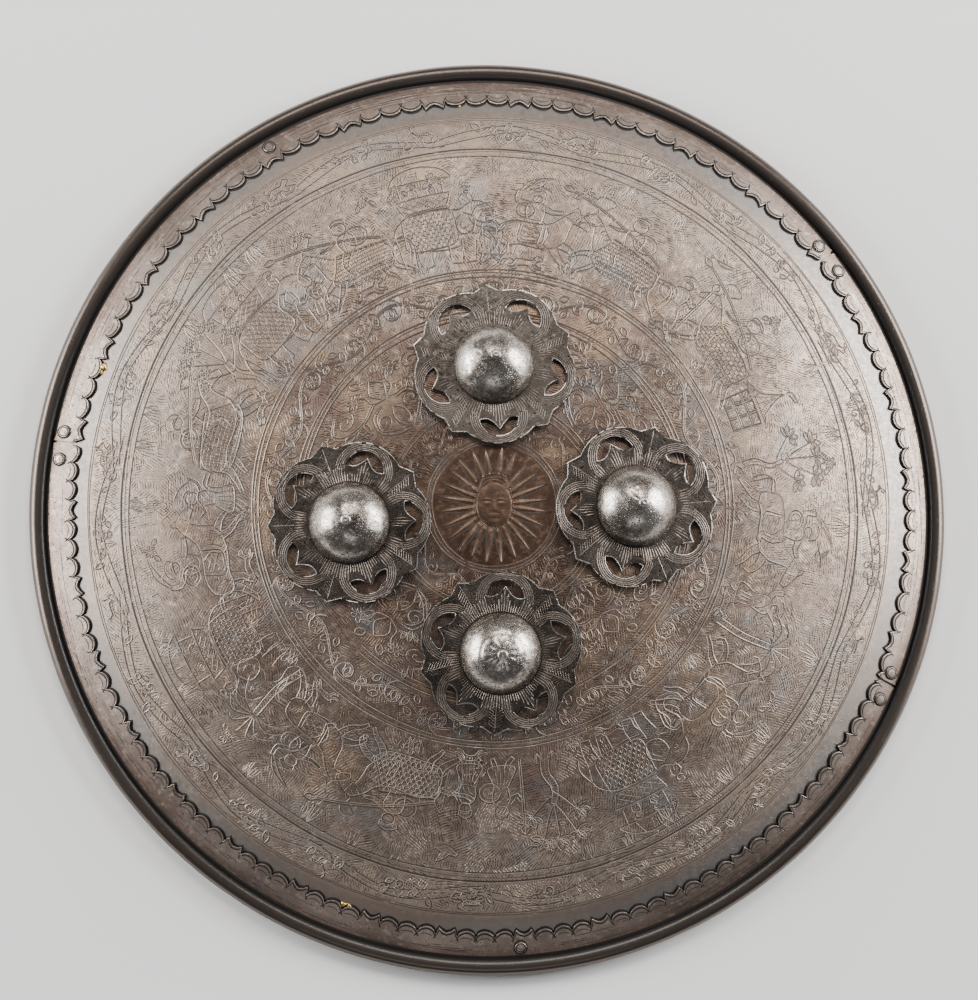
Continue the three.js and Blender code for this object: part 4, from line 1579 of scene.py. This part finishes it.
def palm(tall=44):
    drawing = []
    limb(drawing, [(0, 0), (1.2, tall * 0.3), (0, tall * 0.66)], 3.0, 2.0)
    for ring in range(9):
        v = tall * 0.06 * (ring + 1)
        draw(drawing, [(-0.8, v), (0.8, v + 0.9), (2.0, v)], "fine")
    for frond in range(9):
        turn = math.radians(-25 + frond * 28.5)
        reach = tall * 0.32
        droop = -abs(math.cos(turn)) * 5
        tip = (reach * math.cos(turn), tall * 0.66 + reach * math.sin(turn) * 0.8 + droop)
        bend = (reach * 0.55 * math.cos(turn), tall * 0.66 + reach * 0.6 * math.sin(turn) + 1.6)
        draw(drawing, [(0, tall * 0.66), bend, tip])
        for barb in range(1, 5):
            u = tip[0] * barb / 5
            v = tall * 0.66 + (tip[1] - tall * 0.66) * barb / 5 + 1.2
            draw(drawing, [(u, v), (u + 1.3 * math.cos(turn), v - 2.6)], "fine")
    return drawing


def tent():
    # a chequered pavilion wall under a peaked roof
    drawing = []
    corners = [(-9, 2), (9, 2), (9, 19), (-9, 19)]
    for a, b in zip(corners, corners[1:] + corners[:1]):
        drawing.append((straight(a, b), "deep"))
    for line in (-3, 3):
        for shift in (-0.5, 0.5):
            drawing.append((straight((line + shift, 2), (line + shift, 19)), "outline"))
            level = line * 0.95 + 10.5 + shift
            drawing.append((straight((-9, level), (9, level)), "outline"))
    for cell in ((-9, 2), (-3, 7.6), (3, 13.2), (3, 2), (-9, 13.2)):
        u, v = cell
        panel = [(u + 0.8, v + 0.8), (u + 5.2, v + 0.8), (u + 5.2, v + 5), (u + 0.8, v + 5)]
        latticeFill(drawing, panel, 1.5, 45)
    draw(drawing, [(-12, 20), (-5, 23.5), (-1.5, 31), (0, 36)])
    draw(drawing, [(12, 20), (5, 23.5), (1.5, 31), (0, 36)])
    drawing.append((straight((-12, 20), (12, 20)), "outline"))
    for fold in (-7, -3.5, 0, 3.5, 7):
        draw(drawing, [(fold, 20.4), (fold * 0.55, 25), (fold * 0.12, 31)], "fine")
    draw(drawing, [(0, 36), (0.4, 40), (5, 41), (0.6, 38.4)])
    return drawing


def beast(kind="deer"):
    drawing = []
    draw(drawing, [(-9, 4.2), (-8, 7.6), (-2, 8.2), (4, 7.6), (7, 10.2), (8, 12.2), (10.6, 11.2),
                   (12.2, 9.2), (10, 8.6), (7.6, 7.6), (6, 4.6), (4, 3.6)])
    draw(drawing, [(4, 3.6), (-2, 4.4), (-7, 3.2), (-9, 4.2)])
    limb(drawing, [(5, 5), (9, 2.4), (12, 1.8)], 1.8, 0.9)
    limb(drawing, [(3.4, 4.4), (6, 1), (8.4, 0)], 1.8, 0.9)
    limb(drawing, [(-6.4, 4.4), (-8, 1.4), (-12, 0)], 2.0, 0.9)
    limb(drawing, [(-8, 5.4), (-11, 3.4), (-14, 3)], 2.0, 0.9)
    circle(drawing, 9.4, 10.4, 0.35, "fine")
    for spot in range(5):
        draw(drawing, [(-6 + spot * 2.2, 7), (-5.4 + spot * 2.2, 5.2)], "fine")
    if kind == "deer":
        draw(drawing, [(8, 12.2), (6.6, 14.6), (3.4, 16)])
        draw(drawing, [(8.6, 12.2), (9, 15), (7, 17.4)])
        draw(drawing, [(7.4, 13.4), (5, 13.8)], "fine")
        draw(drawing, [(-9, 7), (-11, 7.8)])
    elif kind == "lion":
        for lock in range(7):
            turn = math.radians(60 + lock * 32)
            draw(drawing, [(8.4 + 1.6 * math.cos(turn), 10 + 1.6 * math.sin(turn)),
                           (8 + 3.6 * math.cos(turn), 10 + 3.4 * math.sin(turn))], "fine")
        draw(drawing, [(-9, 6.8), (-12.4, 9), (-11, 12), (-13, 13.4)])
    else:
        draw(drawing, [(8, 12.2), (5.6, 14.6), (4.4, 13.8), (7.4, 11.6)])
        draw(drawing, [(-9, 6.4), (-10.6, 7), (-10, 5.6)])
    return drawing


def bird():
    drawing = []
    draw(drawing, [(-6, 0), (-2, -1.8), (2.4, -0.6), (4.6, 1.6), (6.4, 1.4), (4.8, 3), (3, 2.6),
                   (0, 2.2), (-6, 0)])
    draw(drawing, [(1.6, 1.4), (-1.4, 4.6), (-5.4, 6.2), (-3.2, 2.2), (-1.6, 0.8)])
    for feather in range(3):
        draw(drawing, [(-0.8 - feather, 1.8), (-2.6 - feather, 4.6 - feather * 0.3)], "fine")
        draw(drawing, [(-6, 0), (-9.4, 1.4 - feather * 1.3)], "fine")
    return drawing


def bush(blades=7, tall=8):
    drawing = []
    for stem in range(3):
        tuft(drawing, (stem - 1) * 2.6, 0, tall * dice.uniform(0.7, 1.1), blades // 2 + 1, 80)
    leaf(drawing, 0, tall * 0.6, tall * 0.55, 90, 0.3)
    leaf(drawing, -1.6, tall * 0.45, tall * 0.45, 130, 0.3)
    leaf(drawing, 1.6, tall * 0.45, tall * 0.45, 50, 0.3)
    return drawing


def place(target, drawing, angle, radius, size=1.0, flip=1):
    for points, weight in drawing:
        u = points[:, 0] * size * flip
        v = points[:, 1] * size
        target.append((polar(radius + v, angle - np.degrees(u / radius)), weight))


seatSpots = [polar(seat["distance"], seat["angle"]) for seat in bossSeats]
taken = np.zeros((480, 480), bool)  # square millimetres of the plate that hold a line


def covered(points, reach=36.5):
    middle = points.mean(axis=0)
    return any(np.hypot(*(middle - spot)) < reach for spot in seatSpots)


def cutInto(name, drawing):
    burrs, dirt = [], []
    for points, weight in drawing:
        if covered(points):
            continue
        look = strokeLooks[weight]
        burrs.append((points, look["width"], look["rise"]))
        if look["dirt"]:
            beside = points + normals(points) * (look["width"] + look["dirt"]) * 0.42
            dirt.append((beside, look["dirt"], 0.05))
        for near in (points, points + normals(points) * 0.5):
            cells = np.floor(near + 240).astype(int)
            taken[cells[:, 0], cells[:, 1]] = True
    engrave(name, burrs, onPlate, burrFinish)
    if dirt:
        engrave(name + "_cuts", dirt, onPlate, dirtFinish)


rings = {
    # radius and weight of every engraved circle
    "circles": [
        (30.9, "outline"), (32.4, "fine"), (34.0, "outline"),
        (50.6, "outline"), (52.6, "fine"), (54.4, "outline"),
        (95.2, "outline"), (97.2, "fine"), (98.8, "outline"),
        (116.8, "outline"), (118.6, "fine"), (120.2, "outline"),
        (180.8, "outline"), (183.2, "fine"), (185.0, "deep"),
        (200.2, "fine"), (201.2, "fine"),
    ],
    "wander": 0.22,
}


def cutRings():
    drawing = []
    for radius, weight in rings["circles"]:
        degrees = np.linspace(0, 360, max(80, round(radius * 6.28 / 2.4)))
        turn = np.radians(degrees)
        r = radius + rings["wander"] * np.sin(turn * 5 + radius) + 0.1 * np.sin(turn * 17 + radius * 2)
        # hand-cut circles come in short overlapping runs
        runs = np.array_split(np.arange(len(degrees)), max(3, round(radius / 12)))
        for run in runs:
            run = np.append(run, (run[-1] + 1) % len(degrees))
            drawing.append((polar(r[run], degrees[run]), weight))
    cutInto("engraved_rings", drawing)


hunt = {
    "ground": 124.5,  # radius of the line that the figures stand on
    "figures": [
        # kind, angle, scale, way it faces
        ("tent", 22, 0.95, 1), ("barded", 36, 0.98, -1), ("soldier", 49, 1.15, 1),
        ("barded", 63, 1.0, -1), ("swordsman", 81, 0.92, 1), ("elephant", 100, 0.98, 1),
        ("barded", 119, 0.96, -1), ("elephant", 139, 0.98, 1), ("tree", 151, 1.05, 1),
        ("barded", 164, 1.0, 1), ("guard", 178, 1.1, -1), ("swordsman", 190, 0.94, 1),
        ("elephant", 209, 0.98, -1), ("palm", 221, 1.1, 1), ("swordsman", 232, 0.94, -1),
        ("barded", 251, 1.0, 1), ("archer", 265, 1.1, 1), ("soldier", 272, 1.15, -1),
        ("tree", 282, 1.0, 1), ("elephant", 300, 1.0, -1), ("swordsman", 321, 0.95, -1),
        ("palm", 334, 1.05, 1), ("guard", 341, 1.1, 1), ("swordsman", 356, 0.92, 1),
        ("tree", 10, 0.95, -1), ("archer", 129, 1.0, -1), ("guard", 90.5, 1.0, 1),
    ],
}


def drawFigure(kind):
    if kind == "tent":
        return tent()
    if kind == "barded":
        return rider(True, "lance")
    if kind == "swordsman":
        return rider(False, "sword")
    if kind == "elephant":
        return elephant()
    if kind == "tree":
        return tree(46, int(dice.integers(0, 2)))
    if kind == "palm":
        return palm()
    return soldier(30, {"soldier": "spear", "archer": "bow", "guard": "sword"}[kind])


def cutHunt():
    drawing = []
    spots = []
    for kind, angle, size, flip in hunt["figures"]:
        place(drawing, drawFigure(kind), angle, hunt["ground"], size, flip)
        spots.append(angle)
    # small beasts and bushes along the foot, birds, stars and hanging sprays along the top
    kinds = ["deer", "hare", "lion"]
    for step in range(30):
        angle = step * 12 + dice.uniform(-2, 2)
        if step % 3 == 0:
            place(drawing, bush(7, 7), angle, 121.6, dice.uniform(0.8, 1.1))
        if step % 3 == 1:
            place(drawing, beast(kinds[step % 9 // 3]), angle, 121.4, 0.62, int(dice.choice([-1, 1])))
    for step in range(44):
        angle = step * 360 / 44 + dice.uniform(-2.5, 2.5)
        height = dice.uniform(7, 12)
        if dice.uniform() < 0.55:
            spray = []
            tuft(spray, 0, 0, height, 5, 60, -90)
            tuft(spray, 3.5, 0, height * 0.7, 4, 50, -90)
            place(drawing, spray, angle, 180.2)
        elif dice.uniform() < 0.5:
            place(drawing, bird(), angle, 168 + dice.uniform(-4, 4), 0.9, int(dice.choice([-1, 1])))
        else:
            bloom = []
            flower(bloom, 0, 0, 3.0)
            leaf(bloom, 2.4, -1.4, 4.4, -40)
            leaf(bloom, -2.4, -1.4, 4.4, 220)
            place(drawing, bloom, angle, 171 + dice.uniform(-3, 3))
    cutInto("engraved_hunt", drawing)


frieze = {"inner": 186.4, "outer": 199.2, "repeats": 30}


def cutFrieze():
    # a running scroll of long leaves with small game in its hollows
    drawing = []
    low, high = frieze["inner"], frieze["outer"]
    pitch = 360 / frieze["repeats"]
    kinds = ["hare", "deer", "lion"]
    for step in range(frieze["repeats"]):
        start = step * pitch + dice.uniform(-1.2, 1.2)
        rising = step % 2 == 0
        for strand in range(3):
            share = np.linspace(0, 1, 16)
            climb = share * share * (3 - 2 * share)
            if not rising:
                climb = 1 - climb
            r = low + 1 + (high - low - 5) * climb + strand * (1.2 + 0.8 * np.sin(math.pi * share))
            degrees = start + share * pitch * 1.35 + strand * 0.4
            weight = "plain" if strand == 1 else "outline"
            drawing.append((polar(np.minimum(r, high - 0.3), degrees), weight))
        sprig = []
        for side in range(6):
            leaf(sprig, -10 + side * 3.8, 2.5 + 1.5 * math.sin(side * 2.1 + step), dice.uniform(4, 6.5),
                 dice.uniform(10, 60) if side % 2 else dice.uniform(110, 170), 0.24)
        place(drawing, sprig, start + pitch * 0.4, low + (0.5 if rising else 4.5))
        if step % 2 == 0:
            side = 1 if step % 4 else -1
            place(drawing, beast(kinds[step // 2 % 3]), start + pitch * 0.28, low + 5.4, 0.5, side)
        else:
            scroll = []
            spiral(scroll, 0, 4.5, 3.2, 1.4, 40, 1)
            spiral(scroll, 7, 7.5, 2.6, 1.3, 200, -1)
            leaf(scroll, 3, 3, 4.2, 30)
            tuft(scroll, -5, 1.0, 5.5, 4, 60)
            place(drawing, scroll, start + pitch * 0.3, low)
    cutInto("engraved_frieze", drawing)


vine = {"middle": 107.8, "swing": 5.2, "waves": 13}


def cutVine():
    drawing = []
    degrees = np.linspace(0, 360, 560)
    stem = vine["middle"] + vine["swing"] * np.sin(np.radians(degrees) * vine["waves"])
    for run in np.array_split(np.arange(560), 26):
        run = np.append(run, (run[-1] + 1) % 560)
        drawing.append((polar(stem[run], degrees[run]), "outline"))
        drawing.append((polar(stem[run] + 0.9, degrees[run]), "outline"))
    half = 180 / vine["waves"]
    for step in range(vine["waves"] * 2):
        angle = (step + 0.5) * half
        up = 1 if step % 2 else -1
        curl = []
        spiral(curl, 0, 0, 6.6, 1.15, -90 * up, up)
        spiral(curl, 0.5, 0, 5.8, 1.0, -80 * up, up, "fine")
        if step % 4 < 2:
            tulip(curl, 0, -1.8 * up, 4.6, 90 * up)
        else:
            flower(curl, 0, 0, 3.4)
        for side in (-1, 1):
            leaf(curl, side * 7.6, -2.2 * up, 6.0, 90 * up + side * 24)
            leaf(curl, side * 7.0, 3.8 * up, 5.2, 90 - side * 60, 0.3)
            leaf(curl, side * 10.4, -4.4 * up, 5.0, 90 * up - side * 30, 0.3)
        place(drawing, curl, angle, vine["middle"] - up * 2.4)
    cutInto("engraved_vine", drawing)


foliage = {"inner": 56, "outer": 93, "roundRosette": 45.5}


def cutFoliage():
    # one arabesque in each gap between the rosettes, mirrored about its own middle
    drawing = []
    for gap in range(4):
        centre = 45 + gap * 90 + (2.5 if gap == 2 else 0)
        spray = []
        tulip(spray, 0, 20, 11, 90)
        leaf(spray, 0, 1, 14, 90, 0.22)
        for side in (-1, 1):
            draw(spray, [(0, 0), (side * 7, 3), (side * 12, 10), (side * 9, 18), (side * 3, 19)])
            draw(spray, [(0, 1.2), (side * 6, 4.4), (side * 10.8, 10.4), (side * 8, 16.6),
                         (side * 3.4, 17.6)])
            spiral(spray, side * 7.5, 12.5, 4.6, 1.5, 90 - side * 60, -side)
            draw(spray, [(side * 4, 22), (side * 12, 20), (side * 20, 24), (side * 22, 31), (side * 16, 35)])
            draw(spray, [(side * 4, 23.2), (side * 12, 21.4), (side * 19, 25), (side * 20.6, 30.6),
                         (side * 16, 33.8)])
            spiral(spray, side * 15.5, 28.5, 4.4, 1.5, 90, side)
            flower(spray, side * 8.2, 30.5, 3.2)
            for step in range(5):
                lean, droop = side * (60 - step * 6), side * (30 - step * 16)
                leaf(spray, side * (13 + step * 4.4), 17.5 + step * 3.8, 5.2, 90 - lean, 0.26)
                leaf(spray, side * (26 + step * 3.5), 31 + step * 1.0, 4.6, 90 + droop, 0.26)
            leaf(spray, side * 3.2, 33, 5, 90 - side * 20)
            tuft(spray, side * 14, 14, 4.5, 4, 80, 90 - side * 50)
            draw(spray, [(side * 24, 37), (side * 30, 35), (side * 37, 37)])
        place(drawing, spray, centre, foliage["inner"])
    for seat in bossSeats:
        # long leaves that lap round each rosette
        for step in range(16):
            turn = step * 22.5 + 8
            spot = polar(seat["distance"], seat["angle"]) + polar(foliage["roundRosette"], turn)
            r = np.hypot(*spot)
            if not foliage["inner"] < r < foliage["outer"]:
                continue
            sprig = []
            leaf(sprig, 0, 0, 6.5, 0, 0.2)
            leaf(sprig, 1, 2.2, 5, 22, 0.22)
            leaf(sprig, 1, -2.2, 5, -22, 0.22)
            for points, weight in sprig:
                drawing.append((turned2d(points, turn + 90) + spot, weight))
    cutInto("engraved_foliage", drawing)


innerScroll = {"middle": 42.4, "swing": 3.4, "waves": 10}


def cutInnerScroll():
    drawing = []
    degrees = np.linspace(0, 360, 220)
    stem = innerScroll["middle"] + innerScroll["swing"] * np.sin(np.radians(degrees) * innerScroll["waves"])
    for run in np.array_split(np.arange(220), 20):
        run = np.append(run, (run[-1] + 1) % 220)
        drawing.append((polar(stem[run], degrees[run]), "outline"))
        drawing.append((polar(stem[run] + 0.8, degrees[run]), "fine"))
    half = 180 / innerScroll["waves"]
    for step in range(innerScroll["waves"] * 2):
        up = 1 if step % 2 else -1
        curl = []
        spiral(curl, 0, 0, 3.2, 1.2, 90 * up, up)
        leaf(curl, 3.4, 2.2 * up, 3.6, 60 * up)
        leaf(curl, -3.4, 2.2 * up, 3.6, 120 * up)
        leaf(curl, 0, -5.5 * up, 3.4, 90 * up, 0.3)
        place(drawing, curl, (step + 0.5) * half, innerScroll["middle"] - up * 1.6)
    cutInto("engraved_scroll", drawing)


sun = {
    "rays": 24,
    "rayTo": 29.4,
    "rayWidth": 3.1,
    "rayRise": 0.32,
    "face": 8.6,  # half width of the face
    "faceTall": 11.2,
    "hairTall": 15.6,
    "faceRise": 0.42,
}


def cutSun():
    rays, edges = [], []
    for step in range(sun["rays"]):
        degrees = step * 360 / sun["rays"] + 7.5 + dice.uniform(-1.2, 1.2)
        reach = sun["rayTo"] - dice.uniform(0, 1.6)
        turn = math.radians(degrees)
        oval = 1 / math.hypot(math.cos(turn) / (sun["face"] + 0.9), math.sin(turn) / (sun["faceTall"] + 0.6))
        if abs((degrees - 90 + 180) % 360 - 180) < 38:
            oval = sun["hairTall"] + 0.3 - 1.3 * abs(degrees - 90) / 38
        line = straight(polar(oval, degrees), polar(reach, degrees), 1.6)
        width = 0.35 + sun["rayWidth"] * np.linspace(1, 0, len(line)) ** 0.85
        rays.append((line, width, sun["rayRise"]))
        side = normals(line) * (width[:, None] / 2 + 0.35)
        edges.append((line + side, 0.5, 0.05))
        edges.append((line - side, 0.5, 0.05))
    engrave("sun_rays", rays, onPlate, burrFinish)
    engrave("sun_cuts", edges, onPlate, dirtFinish)
    buildFace()


def faceRise(x, y):
    # a plain oval face in low relief: brow, closed lids, nose, lips and chin
    wide, tall = sun["face"], sun["faceTall"]
    oval = np.clip(1 - (x / wide) ** 2 - (y / tall) ** 2, 0, 1)
    height = sun["faceRise"] * np.minimum(oval * 2.2, 1) ** 0.5 * (0.8 + 0.2 * oval)
    eyeAt, eyeUp = wide * 0.42, tall * 0.08
    for side in (-1, 1):
        lid = ((x - side * eyeAt) / (wide * 0.24)) ** 2 + ((y - eyeUp) / (tall * 0.09)) ** 2
        height += 0.22 * np.exp(-lid * 1.4)
        socket = ((x - side * eyeAt) / (wide * 0.30)) ** 2 + ((y - eyeUp - tall * 0.13) / (tall * 0.05)) ** 2
        height -= 0.10 * np.exp(-socket)
        brow = ((y - tall * 0.27 + 0.06 * (x - side * eyeAt) ** 2) / (tall * 0.035)) ** 2
        height += 0.18 * np.exp(-brow - ((x - side * eyeAt) / (wide * 0.30)) ** 4)
    bridge = np.clip((y + tall * 0.22) / (tall * 0.45), 0, 1) * (y < tall * 0.24)
    width = wide * (0.15 - 0.07 * bridge)
    height += 0.42 * np.exp(-(x / width) ** 2) * (1 - 0.5 * bridge) * (y > -tall * 0.24) * (y < tall * 0.24)
    for centre, thin in ((-0.42, 0.030), (-0.50, 0.034)):
        lip = ((y - tall * centre) / (tall * thin)) ** 2 + (x / (wide * 0.30)) ** 4
        height += 0.20 * np.exp(-lip)
    height += 0.14 * np.exp(-(x / (wide * 0.22)) ** 2 - ((y + tall * 0.74) / (tall * 0.10)) ** 2)
    return height * (oval > 0)


def buildFace():
    wide, tall = sun["face"], sun["faceTall"]
    columns, rows = 96, 40
    share = np.sqrt(np.linspace(0, 1, rows + 1))[1:]
    angles = np.arange(columns) * 2 * math.pi / columns
    layers = []
    for s in share:
        x = wide * s * np.cos(angles)
        y = tall * s * np.sin(angles)
        lift = faceRise(x, y) if s < 0.999 else 0 * x - 0.05
        layers.append(onPlate(np.stack([x, y], axis=-1), lift))
    x, y = wide * np.cos(angles), tall * np.sin(angles)
    layers.append(onPlate(np.stack([x, y], axis=-1), -0.3))
    middle = np.zeros((1, 2))
    peak = faceRise(np.zeros(1), np.zeros(1))
    verts = np.concatenate(layers + [onPlate(middle, peak), onPlate(middle, -0.3)])
    count = len(layers)
    j = np.arange(columns)
    last = (count - 1) * columns
    top = np.stack([np.full(columns, count * columns), j, (j + 1) % columns], axis=-1)
    bottom = np.stack([np.full(columns, count * columns + 1), last + (j + 1) % columns, last + j], axis=-1)
    makeMesh("sun_face", verts, gridQuads(count, columns), np.concatenate([top, bottom]),
             burrFinish, sharp=60)
    drawing = []
    # the hair lies in a rounded cap over the brow and falls in locks beside the cheeks
    top = sun["hairTall"]
    for lock in range(5):
        share = lock / 4
        reach, crown = wide * (0.72 + 0.22 * share), tall * 0.86 + (top - tall * 0.86) * share
        draw(drawing, [(-reach, tall * 0.62), (-reach * 0.62, crown - 1.4 * (1 - share) - 0.6), (0, crown),
                       (reach * 0.62, crown - 1.4 * (1 - share) - 0.6), (reach, tall * 0.62)],
             "outline" if lock in (0, 4) else "fine")
    for side in (-1, 1):
        for lock in range(3):
            reach = wide + 0.2 + lock * 0.6
            draw(drawing, [(side * reach * 0.9, tall * 0.62), (side * reach * 1.04, tall * 0.2),
                           (side * reach * 1.02, -tall * 0.2), (side * reach * 1.1, -tall * 0.32)], "fine")
    under = np.radians(np.linspace(215, 325, 12))
    for reach in (1.03, 1.10):
        chin = np.stack([wide * reach * np.cos(under), tall * reach * np.sin(under)], axis=-1)
        drawing.append((chin, "outline"))
    about = np.radians(np.linspace(0, 360, 60))
    around = np.stack([wide * 1.01 * np.cos(about), tall * 1.01 * np.sin(about)], axis=-1)
    drawing.append((around, "outline"))
    cutInto("sun_hair", drawing)


hatching = {
    "bands": [(34.6, 50.0), (55.0, 94.6), (99.4, 116.2), (120.8, 180.4), (186.0, 199.6)],
    "patches": 900,
    "pitch": 1.3,
    "step": 0.6,
    "longest": 5.2,
    "looks": {
        # share of the patches, width and rise
        "light": (0.42, 0.38, 0.07),
        "dark": (0.46, 0.38, 0.045),
    },
}


def hatchPatches():
    # the ground is cut in small patches, each hatched its own way
    count = hatching["patches"]
    centres = polar(199 * np.sqrt(dice.uniform(0.02, 1, count)), dice.uniform(0, 360, count))
    axis = np.arange(480) - 239.5
    x, y = np.meshgrid(axis, axis, indexing="ij")
    nearest = np.full((480, 480), 1e9)
    owner = np.zeros((480, 480), int)
    for index, (cx, cy) in enumerate(centres):
        far = (x - cx) ** 2 + (y - cy) ** 2
        closer = far < nearest
        nearest[closer] = far[closer]
        owner[closer] = index
    return centres, owner


def cutHatching():
    centres, owner = hatchPatches()
    pitch, step = hatching["pitch"], hatching["step"]
    across = np.arange(-14, 14, pitch)
    along = np.arange(-14, 14, step)
    marks = {"light": [], "dark": []}
    for index, centre in enumerate(centres):
        luck = dice.uniform()
        lightShare = hatching["looks"]["light"][0]
        darkShare = hatching["looks"]["dark"][0]
        kind = "light" if luck < lightShare else "dark" if luck < lightShare + darkShare else ""
        bearing = math.degrees(math.atan2(centre[1], centre[0]))
        lean = bearing + dice.integers(0, 6) * 30 + dice.uniform(-12, 12)
        bend = dice.uniform(-0.02, 0.02)
        if not kind:
            continue
        width, rise = hatching["looks"][kind][1:]
        for row in across:
            line = np.stack([along, row + bend * along ** 2 + 0 * along], axis=-1)
            line = turned2d(line, lean) + centre + dice.normal(0, 0.08, 2)
            cells = np.clip(np.floor(line + 240).astype(int), 0, 479)
            r = np.hypot(line[:, 0], line[:, 1])
            free = (owner[cells[:, 0], cells[:, 1]] == index) & ~taken[cells[:, 0], cells[:, 1]]
            inBand = np.zeros(len(r), bool)
            for low, high in hatching["bands"]:
                inBand |= (r > low) & (r < high)
            free &= inBand
            for spot in seatSpots:
                free &= np.hypot(line[:, 0] - spot[0], line[:, 1] - spot[1]) > 36.5
            start = 0
            while start < len(free):
                if not free[start]:
                    start += 1
                    continue
                end = start
                limit = start + dice.uniform(0.55, 1) * hatching["longest"] / step
                while end + 1 < len(free) and free[end + 1] and end < limit:
                    end += 1
                if end - start >= 2:
                    picks = [start, end] if end - start < 6 else [start, (start + end) // 2, end]
                    marks[kind].append((line[picks], width, rise))
                start = end + 2
    engrave("hatching_light", marks["light"], onPlate, burrFinish, sunk=0.02)
    engrave("hatching_dark", marks["dark"], onPlate, dirtFinish, sunk=0.02)


cutRings()
cutHunt()
cutFrieze()
cutVine()
cutFoliage()
cutInnerScroll()
cutSun()
cutHatching()
print("engraving done")

studio = {
    "tiltUp": 6.5,  # degrees that the camera leans towards the shield's foot
    "tiltLeft": 3.2,
    "distance": 6.0,
    "span": 0.502,  # along the picture's longer side, at the rim
    "aimX": 0.0007,
    "aimY": 0.0093,
    "floorColour": (0.80, 0.79, 0.78),
}


def makeFloor():
    size = 6.0
    corners = [(-size, -size, 0), (size, -size, 0), (size, size, 0), (-size, size, 0)]
    mesh = bpy.data.meshes.new("floor")
    mesh.from_pydata(corners, [], [(0, 1, 2, 3)])
    material = bpy.data.materials.new("paper")
    material.use_nodes = True
    shader = material.node_tree.nodes["Principled BSDF"]
    shader.inputs["Base Color"].default_value = (*studio["floorColour"], 1)
    shader.inputs["Roughness"].default_value = 0.8
    mesh.materials.append(material)
    floor = bpy.data.objects.new("floor", mesh)
    bpy.context.scene.collection.objects.link(floor)


def makeCamera():
    data = bpy.data.cameras.new("camera")
    data.sensor_width = 36
    data.lens = 36 * studio["distance"] / studio["span"]
    data.clip_end = 50
    camera = bpy.data.objects.new("camera", data)
    bpy.context.scene.collection.objects.link(camera)
    x = -math.tan(math.radians(studio["tiltLeft"]))
    y = -math.tan(math.radians(studio["tiltUp"]))
    away = Vector((x, y, 1)).normalized()
    aim = Vector((studio["aimX"], studio["aimY"], 0.004))
    camera.location = aim + away * studio["distance"]
    # turned so that the shield's +Y is up in the picture
    right = Vector((0, 1, 0)).cross(away).normalized()
    up = away.cross(right)
    camera.rotation_euler = Matrix((right, up, away)).transposed().to_euler()
    bpy.context.scene.camera = camera


def softbox(name, spot, size, power, colour=(1, 1, 1)):
    data = bpy.data.lights.new(name, "AREA")
    data.shape = "RECTANGLE"
    data.size, data.size_y = size
    data.energy = power
    data.color = colour
    lamp = bpy.data.objects.new(name, data)
    bpy.context.scene.collection.objects.link(lamp)
    lamp.location = spot
    aim = Vector((0, 0, 0.03)) - Vector(spot)
    lamp.rotation_euler = aim.to_track_quat("-Z", "Y").to_euler()


makeFloor()
makeCamera()
softbox("leftBox", (-1.7, 0.36, 0.60), (1.4, 0.7), 53)
softbox("rightBox", (1.65, 0.64, 0.76), (1.3, 0.7), 66)
softbox("topBox", (0.0, 1.35, 1.5), (1.5, 0.7), 32, (1.0, 0.96, 0.91))
softbox("lowLeftBox", (-1.5, 0.15, 0.28), (1.2, 0.35), 9)
softbox("lowRightBox", (1.5, 0.22, 0.28), (1.2, 0.35), 11)
softbox("footBox", (0.0, -1.5, 1.3), (1.2, 0.5), 3)
world = bpy.data.worlds.new("studio")
world.use_nodes = True
world.node_tree.nodes["Background"].inputs["Color"].default_value = (0.9, 0.93, 1.0, 1)
world.node_tree.nodes["Background"].inputs["Strength"].default_value = 0.11
bpy.context.scene.world = world
